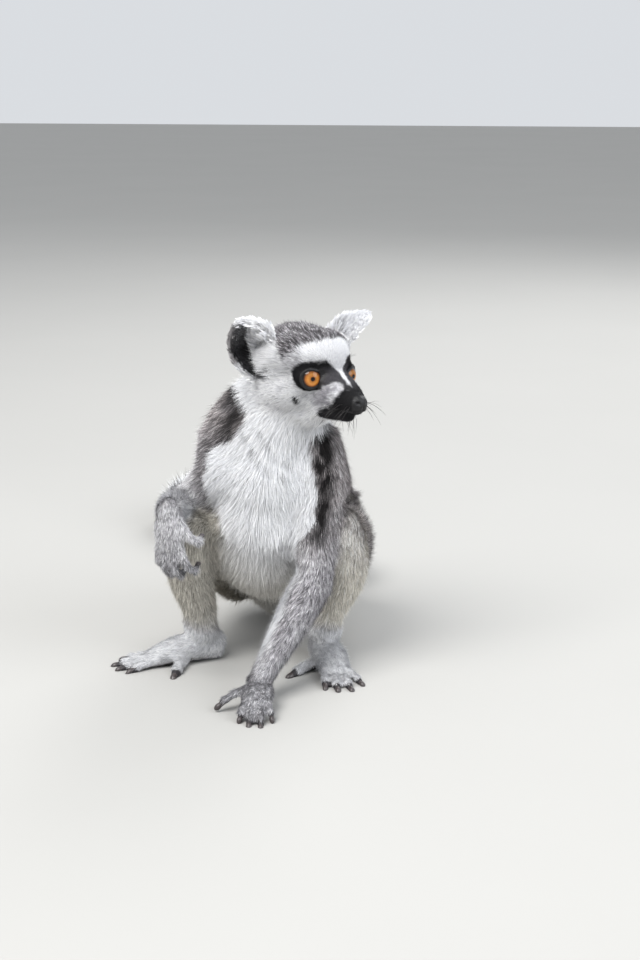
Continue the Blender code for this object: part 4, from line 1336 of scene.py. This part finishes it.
def blades(kind, rng, root, normal, lie, length, width, lift, low, high, place, target, pull):
    """Closed blades, one per root: two edges above, a keel below, and a point that leans to its target."""
    n, bent = len(root), kind is BENT
    side = unit(np.cross(normal, lie))
    middle = root + hair_way(normal, lie, lift) * (length * 0.48)[:, None]
    tip = middle + hair_way(normal, lie, lift * BENT_LIFT if bent else lift) * (length * 0.52)[:, None]
    tip = tip + (target - tip) * pull[:, None]
    middle = middle + (target - tip) * pull[:, None] * 0.25
    # hair that reaches the floor lies flat on it
    middle[:, 2] = np.maximum(middle[:, 2], 0.9 * MM)
    tip[:, 2] = np.maximum(tip[:, 2], 0.5 * MM)
    up = unit(np.cross(tip - root, side))
    up *= np.sign((up * normal).sum(1, keepdims=True) + 1e-9)
    half = side * (width / 2)[:, None]
    keel = up * (width * 0.32)[:, None]
    base = root - normal * ROOT_DEPTH
    corners = [base + half, base - half, base - keel]
    if bent:
        corners += [middle + half * 0.8 + keel * 0.5, middle - half * 0.8 + keel * 0.5]
    points = np.stack(corners + [tip], 1)
    # a blade that came out inside out has its faces turned
    a, b, c = (points[:, k] - points[:, 0] for k in (1, 2, -1))
    inside_out = np.einsum("ij,ij->i", np.cross(a, b), c) < 0
    faces = np.where(inside_out[:, None, None], kind.faces[None, :, ::-1], kind.faces[None])
    corner_count = points.shape[1]
    faces = (faces + (np.arange(n) * corner_count)[:, None, None]).reshape(-1, 3)
    rise = kind.rise[None, :, None]
    colour = low[:, None, :] * (1 - rise) + high[:, None, :] * rise
    lot = np.repeat(rng.random(n)[:, None], corner_count, 1)
    strand = np.stack([np.tile(kind.wide, (n, 1)), np.tile(kind.rise, (n, 1)), lot], 2)
    bake = place[:, None, :] + kind.spots[None] * SPOT_SIZE
    return points.reshape(-1, 3), faces, colour.reshape(-1, 3), strand.reshape(-1, 3), bake.reshape(-1, 2)


COAT_PIECES = {
    "coat_ears": ("ear_left", "ear_right"),
    "coat_neck": ("neck",),
    "coat_chest": ("chest",),
    "coat_belly": ("belly",),
    "coat_rump": ("pelvis",),
    "coat_upper_arm_left": ("upper_arm_left",),
    "coat_forearm_left": ("forearm_left", "hand_left"),
    "coat_upper_arm_right": ("upper_arm_right",),
    "coat_forearm_right": ("forearm_right", "hand_right"),
    "coat_thigh_left": ("thigh_left",),
    "coat_thigh_right": ("thigh_right",),
    "coat_shank_left": ("shank_left", "foot_left"),
    "coat_shank_right": ("shank_right", "foot_right"),
    "coat_tail_base": ("tail_1", "tail_2"),
    "coat_tail_middle": ("tail_3", "tail_4"),
    "coat_tail_end": ("tail_5", "tail_6"),
}
LONG_HAIRED = ("ear_left", "ear_right")  # these have bent blades
WHITE_PIECES = ("ears", "neck", "chest", "belly", "shank")
LOCK_SPACING = 5.5                       # millimetres from one lock of the coat to the next
MOST_TUFTS = 400_000
FACE_EDGE = -18                          # millimetres: the head's coat is two pieces, before and behind this


def slot_of(name):
    if any(word in name for word in WHITE_PIECES):
        return "white_coat"
    return "black_coat" if name == "coat_tail_end" else "grey_coat"


def locks(cover, rng):
    """Sparse places that the tufts around them lean to, with the target of each lock."""
    face, mix = cover.roots(rng, np.full(len(cover.co), 1.0) / LOCK_SPACING**2, MOST_TUFTS)
    root, normal, lie, length, lift = cover.at(face, mix, "co", "normal", "lie", "length", "lift")
    tree = KDTree(len(root))
    for i, p in enumerate(root):
        tree.insert(p, i)
    tree.balance()
    normal, lie = unit(normal), unit(lie)
    stray = np.cross(normal, lie) * rng.normal(0, 0.22, len(face))[:, None]
    way = unit(hair_way(normal, lie, lift * 0.8) + stray)
    return tree, root + way * (length * 0.95)[:, None]


def make_coat(cover, fur):
    """Every tuft of the coat, drawn in one go and then shared out to the pieces."""
    rng = np.random.default_rng(20)
    face, mix = cover.roots(rng, cover.thick, MOST_TUFTS)
    root, normal, lie, share, length, width, lift = cover.at(
        face, mix, "co", "normal", "lie", "share", "length", "width", "lift")
    normal, lie = unit(normal), unit(lie)
    place = (cover.uv[face] * mix[:, :, None]).sum(1)
    n = len(root)
    colour, fleck = markings(root + normal * 0.5 * MM, normal, share)
    # each tuft strays from light to dark, and its root is darker than its point: painted shade deep in the
    # coat
    light = np.exp(rng.normal(0, 1, n) * fleck)
    shade = np.clip(colour * light[:, None], 0.003, 0.93)
    low, high = shade * 0.78, np.clip(shade * 1.10 + 0.003, 0, 0.95)
    # tufts stray a little from the lie, and the lie swirls slowly
    stray = rng.normal(0, 0.16, n) + grain(root, 11 * MM, 21) * 0.28
    lie = unit(lie + np.cross(normal, lie) * stray[:, None])
    length = length * rng.uniform(0.72, 1.18, n)
    width = width * rng.uniform(0.75, 1.2, n)
    lift = lift * rng.uniform(0.65, 1.35, n)
    guard = rng.random(n) < 0.14             # a few tufts stand off and soften the outline
    lift[guard] = lift[guard] * 1.7 + 0.12
    width[guard] *= 0.6
    length[guard] *= 1.1
    tree, targets = locks(cover, rng)
    target = targets[[tree.find(p)[1] for p in root]]
    pull = np.clip(0.42 - 0.25 * of_regions(share, "head"), 0, 1) * rng.uniform(0.5, 1.1, n) * ~guard
    region = np.array(REGIONS)[share.argmax(1)]
    front = in_head(root)[:, 1] < FACE_EDGE
    groups = [(name, members, np.isin(region, members)) for name, members in COAT_PIECES.items()]
    groups.append(("coat_face", ("head",), (region == "head") & front))
    groups.append(("coat_crown", ("head",), (region == "head") & ~front))
    curved = np.isin(region, LONG_HAIRED)
    pull[~curved] *= 0.6
    tufts = (root, normal, lie, length, width, lift, low, high, place, target, pull)
    for name, members, mine in groups:
        parts = []
        for kind, chosen in ((BENT, mine & curved), (STRAIGHT, mine & ~curved)):
            if chosen.any():
                parts.append(blades(kind, rng, *(values[chosen] for values in tufts)))
        coat_object(name, parts, fur, slot_of(name), members)


# ---------------------------------------------------------------- materials
def material(name, **numbers):
    """A new material with its node tree and its shader, and these numbers on the shader's own sockets."""
    made = bpy.data.materials.new(name)
    made.use_nodes = True
    tree = made.node_tree
    shader = next(n for n in tree.nodes if n.type == "BSDF_PRINCIPLED")
    for key, value in numbers.items():
        shader.inputs[key.replace("_", " ")].default_value = value
    return made, tree, shader


def node(tree, kind, **inputs):
    """A new node. Each input is a number or colour of its own, or another node's output."""
    made = tree.nodes.new(kind)
    for key, value in inputs.items():
        socket = made.inputs[key.replace("_", " ")]
        if isinstance(value, bpy.types.NodeSocket):
            tree.links.new(value, socket)
        else:
            socket.default_value = value
    return made


def attribute(tree, name):
    made = tree.nodes.new("ShaderNodeAttribute")
    made.attribute_name = name
    return made


def vector_math(tree, operation, vector, result="Vector"):
    made = node(tree, "ShaderNodeVectorMath")
    made.operation = operation
    tree.links.new(vector, made.inputs[0])
    return made.outputs[result]


def where_on_piece(tree):
    return tree.nodes.new("ShaderNodeTexCoord").outputs["Object"]


def span(tree, factor, low, high, **limits):
    """A number that runs from low to high as factor runs from 0 to 1."""
    return node(tree, "ShaderNodeMapRange", Value=factor, To_Min=low, To_Max=high, **limits).outputs["Result"]


def multiplied(tree, colour, low, high, factor):
    """A plain colour or an output times a number from low to high, as factor runs from 0 to 1."""
    scale = tree.nodes.new("ShaderNodeVectorMath")
    scale.operation = "SCALE"
    if isinstance(colour, bpy.types.NodeSocket):
        tree.links.new(colour, scale.inputs[0])
    else:
        scale.inputs[0].default_value = tuple(colour)
    tree.links.new(span(tree, factor, low, high), scale.inputs["Scale"])
    return scale.outputs["Vector"]


def bump(tree, shader, height, strength, distance):
    made = node(tree, "ShaderNodeBump", Strength=strength, Distance=distance, Height=height)
    tree.links.new(made.outputs["Normal"], shader.inputs["Normal"])


def fur_material():
    """Hair: the coat's own colour with fine lengthwise streaks."""
    made, tree, shader = material(
        "hair of the coat", Roughness=0.72, Specular_IOR_Level=0.14, Sheen_Weight=0.02, Sheen_Roughness=0.45)
    strand = attribute(tree, "strand").outputs["Vector"]
    stretch = node(tree, "ShaderNodeMapping", Vector=strand, Scale=(5.0, 1.4, 90.0)).outputs["Vector"]
    streak = node(tree, "ShaderNodeTexNoise", Vector=stretch, Scale=1.6, Detail=2.0, Roughness=0.6)
    coat = attribute(tree, "coat").outputs["Color"]
    tree.links.new(multiplied(tree, coat, 0.72, 1.22, streak.outputs["Fac"]), shader.inputs["Base Color"])
    bump(tree, shader, streak.outputs["Fac"], 0.35, 0.3 * MM)
    return made


def skin_material():
    """Skin under the coat takes the coat's colour, and bare skin is dark, leathery and a little moist."""
    made, tree, shader = material("skin and under coat", Specular_IOR_Level=0.4)
    coat, bald = attribute(tree, "coat").outputs["Color"], attribute(tree, "bald").outputs["Fac"]
    where = where_on_piece(tree)
    wool = node(tree, "ShaderNodeTexNoise", Vector=where, Scale=900.0, Detail=3.0, Roughness=0.65)
    leather = node(tree, "ShaderNodeTexVoronoi", Vector=where, Scale=1500.0)
    tree.links.new(multiplied(tree, coat, 0.55, 1.15, wool.outputs["Fac"]), shader.inputs["Base Color"])
    height = node(tree, "ShaderNodeMix", Factor=bald, A=wool.outputs["Fac"], B=leather.outputs["Distance"])
    bump(tree, shader, height.outputs["Result"], 0.5, 0.4 * MM)
    tree.links.new(span(tree, bald, 0.85, 0.42), shader.inputs["Roughness"])
    return made


def tinted_material(name, colour, low, high, grain_inputs, **numbers):
    """One colour that a fine noise makes a little darker and lighter."""
    made, tree, shader = material(name, **numbers)
    tint = node(tree, "ShaderNodeTexNoise", Vector=where_on_piece(tree), **grain_inputs)
    tree.links.new(multiplied(tree, colour, low, high, tint.outputs["Fac"]), shader.inputs["Base Color"])
    return made


# ---------------------------------------------------------------- eyes
GAZE = {-1: Vector((-0.423, -0.906, 0.02)), 1: Vector((0.139, -0.990, 0.0))}     # in the head's own frame


# from the middle of the pupil out, in eye radii
IRIS_RINGS = (
    (0.0, paint(6, 4, 4)), (0.135, paint(8, 5, 4)), (0.165, paint(92, 50, 20)), (0.23, paint(166, 104, 42)),
    (0.40, paint(186, 124, 56)), (0.53, paint(166, 100, 40)), (0.625, paint(96, 52, 20)),
    (0.69, paint(30, 17, 9)), (0.75, paint(12, 10, 10)),
)


def eye_material():
    """Amber iris with a darker rim and fine spokes, a round pupil, and a wet clear surface."""
    made, tree, shader = material(
        "amber eye", Roughness=0.28, Specular_IOR_Level=0.1,
        Coat_Weight=1.0, Coat_Roughness=0.02, Coat_IOR=1.34)
    # x and y across the eye, in eye radii
    spot = node(tree, "ShaderNodeSeparateXYZ", Vector=attribute(tree, "iris").outputs["Vector"]).outputs
    flat = node(tree, "ShaderNodeCombineXYZ", X=spot["X"], Y=spot["Y"]).outputs["Vector"]
    around = vector_math(tree, "NORMALIZE", flat)
    spokes = node(tree, "ShaderNodeTexNoise", Vector=around, Scale=9.0, Detail=4.0, Roughness=0.7)
    rings = node(tree, "ShaderNodeValToRGB", Fac=vector_math(tree, "LENGTH", flat, "Value"))
    ramp = rings.color_ramp
    ramp.interpolation = "EASE"
    while len(ramp.elements) < len(IRIS_RINGS):
        ramp.elements.new(0.5)
    for element, (at, colour) in zip(ramp.elements, IRIS_RINGS):
        element.position, element.color = at, (*colour, 1.0)
    # the upper lid keeps the top of the iris in shade
    shade = span(tree, spot["Y"], 0.95, 0.0, From_Min=-0.5, From_Max=0.6)
    lit = multiplied(tree, rings.outputs["Color"], 0.35, 1.5, shade)
    tree.links.new(multiplied(tree, lit, 0.25, 1.85, spokes.outputs["Fac"]), shader.inputs["Base Color"])
    return made


def make_eye(side, finish):
    """An eyeball with the clear front bulging a little, turned to where the animal looks."""
    turn = GAZE[side].normalized().to_track_quat("Z", "Y").to_matrix().to_4x4()
    bm = bmesh.new()
    bmesh.ops.create_uvsphere(bm, u_segments=64, v_segments=40, radius=1.0)
    spots = np.array([tuple(v.co) for v in bm.verts])
    for v in bm.verts:
        bulge = math.exp(-((math.hypot(v.co.x, v.co.y) / 0.55) ** 2)) * max(v.co.z, 0) * 0.035
        v.co *= EYE_RADIUS * (1 + bulge)
    bmesh.ops.transform(bm, matrix=HEAD_FRAME @ Matrix.Translation(EYE_PLACE[side]) @ turn, verts=bm.verts)
    made = object_of(bm, "eyeball_" + WORD[side])
    # the back half has the colour of the iris's edge
    spots[spots[:, 2] < 0] = [1.0, 0.0, 0.0]
    spots[:, 2] = 0
    put_vectors(made.data, "iris", spots)
    made.data.materials.append(finish)
    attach(made, "root")
    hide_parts("eye_" + WORD[side])


# ---------------------------------------------------------------- whiskers and nails
def make_nails():
    """A small curved nail on the back of every finger and toe tip."""
    bm = bmesh.new()
    for digit in digits_of(1) + digits_of(-1):
        radius, tip = digit.radius, digit.way[-1]
        ahead = (tip - digit.way[-2]).normalized()
        across = (ACROSS - ahead * ahead.x).normalized()
        up = across.cross(ahead)
        if up.z < 0:
            up.negate()
        turn = Matrix((across, -ahead, up)).transposed().to_4x4()
        # the second toe carries a long grooming claw
        long = 1.5 if digit.name == "second" else 1.0
        size = Matrix.Diagonal((radius * 0.58, radius * 0.88 * long, radius * 0.34, 1.0))
        nail = bmesh.new()
        bmesh.ops.create_uvsphere(nail, u_segments=14, v_segments=9, radius=1.0, matrix=size)
        for v in nail.verts:
            v.co.z -= (v.co.x / radius) ** 2 * radius * 0.55 + max(-v.co.y / radius, 0) ** 2 * radius * 0.32
        at = tip + ahead * radius * 0.52 + up * radius * 0.30
        add_piece(bm, nail, digit.place @ Matrix.Translation(at) @ turn)
    bmesh.ops.recalc_face_normals(bm, faces=bm.faces)
    for v in bm.verts:
        v.co.z = max(v.co.z, 0.1 * MM)
    made = object_of(bm, "nails")
    made.data.materials.append(tinted_material(
        "nail horn", paint(64, 58, 58), 0.6, 1.4, {"Scale": 420.0, "Detail": 2.0}, Roughness=0.35))
    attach(made, "root")


def whisker_rows():
    """Start, way and length in millimetres of every whisker, in the head's own frame."""
    rng = np.random.default_rng(8)
    for side in (-1, 1):
        for k in range(16):      # muzzle, in two rows
            y = -59.6 + (k % 8) * 2.2 + rng.normal(0, 0.4)
            z = -15.5 - (k // 8) * 2.6 + rng.normal(0, 0.5)
            x = np.interp(y, (-66, -57, -46, -40), (4.5, 8.2, 10.6, 12.5))
            way = (side * 0.95, -0.35 + 0.04 * k, rng.normal(-0.10, 0.25))
            yield (side * x, y, z), way, rng.uniform(12, 24)
        for k in range(5):       # brow
            start = (side * (7.5 + k * 0.9), -39.5 + k * 0.8, 10.5)
            yield start, (side * 0.35, -0.75, 0.75 + 0.1 * k), rng.uniform(9, 15)
    for _ in range(9):           # chin
        start = (rng.uniform(-5, 5), rng.uniform(-60, -46), -26.5)
        yield start, (rng.normal(0, 0.4), -0.45, -0.9), rng.uniform(6, 12)


def make_whiskers():
    """Thin dark hairs round the muzzle, on the brow and the chin."""
    bm = bmesh.new()
    for start, way, long in whisker_rows():
        start, way = Vector(start) * MM, Vector(way).normalized()
        droop = Vector((0, 0.15, -0.35)) * long * MM
        joints = [start + way * long * MM * t + droop * t * t for t in (0, 0.35, 0.7, 1.0)]
        tube(bm, joints, [0.11 * MM, 0.10 * MM, 0.07 * MM, 0.03 * MM], side=Vector((0.3, 0.5, 0.8)),
             rings=6, segments=5)
    bmesh.ops.transform(bm, matrix=HEAD_FRAME, verts=bm.verts)
    bmesh.ops.recalc_face_normals(bm, faces=bm.faces)
    made = object_of(bm, "whiskers")
    made.data.materials.append(tinted_material(
        "whisker", paint(40, 36, 36), 0.6, 1.3, {"Scale": 300.0}, Roughness=0.5))
    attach(made, "root")


# ---------------------------------------------------------------- stage
def make_floor():
    bm = bmesh.new()
    bmesh.ops.create_grid(bm, x_segments=8, y_segments=8, size=9.0)
    floor = object_of(bm, "floor")
    floor.data.materials.append(tinted_material(
        "pale studio floor", paint(176, 175, 172), 0.97, 1.03, {"Scale": 3.0, "Detail": 4.0},
        Roughness=0.8, Specular_IOR_Level=0.2))


# name, place, size across, power and tint
LAMPS = (
    ("key", (-0.7, -1.2, 2.0), 1.5, 61.0, (1.0, 0.99, 0.97)),
    ("fill", (1.8, -0.7, 1.2), 1.6, 25.0, (0.93, 0.96, 1.0)),
    ("rim", (0.5, 1.7, 1.5), 1.2, 22.0, (1.0, 1.0, 1.0)),
)
LIT_PLACE = Vector((0, -0.05, 0.12))     # where the lamps point


def make_lights():
    world = bpy.data.worlds.new("studio")
    world.use_nodes = True
    sky = world.node_tree.nodes["Background"]
    sky.inputs["Color"].default_value = (0.90, 0.93, 0.97, 1.0)
    sky.inputs["Strength"].default_value = 0.78
    bpy.context.scene.world = world
    for name, place, size, power, tint in LAMPS:
        lamp = bpy.data.lights.new(name, "AREA")
        lamp.shape, lamp.size, lamp.energy, lamp.color = "DISK", size, power, tint
        held = placed(name, lamp)
        held.location = place
        held.rotation_euler = (LIT_PLACE - Vector(place)).to_track_quat("-Z", "Y").to_euler()


def make_camera():
    azimuth, pitch = math.radians(8.0), math.radians(14.5)
    back = Vector((math.sin(azimuth), -math.cos(azimuth), 0))
    view = -back * math.cos(pitch) - UP * math.sin(pitch)
    lens = bpy.data.cameras.new("camera")
    lens.lens, lens.sensor_width = 62.0, 36.0
    held = placed("camera", lens)
    held.location = (0.19106, -1.22234, 0.430)
    held.rotation_euler = view.to_track_quat("-Z", "Y").to_euler()
    bpy.context.scene.camera = held
    bpy.context.scene.view_settings.view_transform = "Standard"


# ---------------------------------------------------------------- assembly
def unwrap(skin):
    """Gives the skin its bake map."""
    bpy.context.view_layer.objects.active = skin
    skin.select_set(True)
    skin.data.uv_layers.new(name="OFBake")
    bpy.ops.object.mode_set(mode="EDIT")
    bpy.ops.mesh.select_all(action="SELECT")
    bpy.ops.uv.smart_project(angle_limit=math.radians(66), island_margin=0.002)
    bpy.ops.object.mode_set(mode="OBJECT")


def colour_skin(skin, share, bald):
    """Lays the coat's markings on the skin, darker under it as painted shade beneath the coat, with bare skin
    dark grey and a sooty nose.
    """
    mesh = skin.data
    co = points_of(mesh)
    colour, _ = markings(co, normals_of(mesh), share)
    bare, head = step(0.2, 0.7, bald), of_regions(share, "head")
    nose = step(-56.5, -61, in_head(co)[:, 1])
    # painted shade: the skin under the coat is darker than the coat
    colour = lay(colour * 0.72, BARE * 0.55, bare)
    put_colour(mesh, lay(colour, SOOT * 0.8, np.maximum(nose * bald, bare) * head))
    mesh.attributes.new("bald", "FLOAT", "POINT").data.foreach_set("value", bald.astype(np.float32))
    mesh.materials.append(skin_material())


def main():
    make_floor()
    make_lights()
    make_camera()
    skin, web, share, bald = make_skin()
    unwrap(skin)
    colour_skin(skin, share, bald)
    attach(skin, "root")
    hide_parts(*REGIONS)

    amber = eye_material()
    for side in (1, -1):
        make_eye(side, amber)
    make_nails()
    make_whiskers()
    make_coat(Cover(skin, web, share, bald), fur_material())


main()
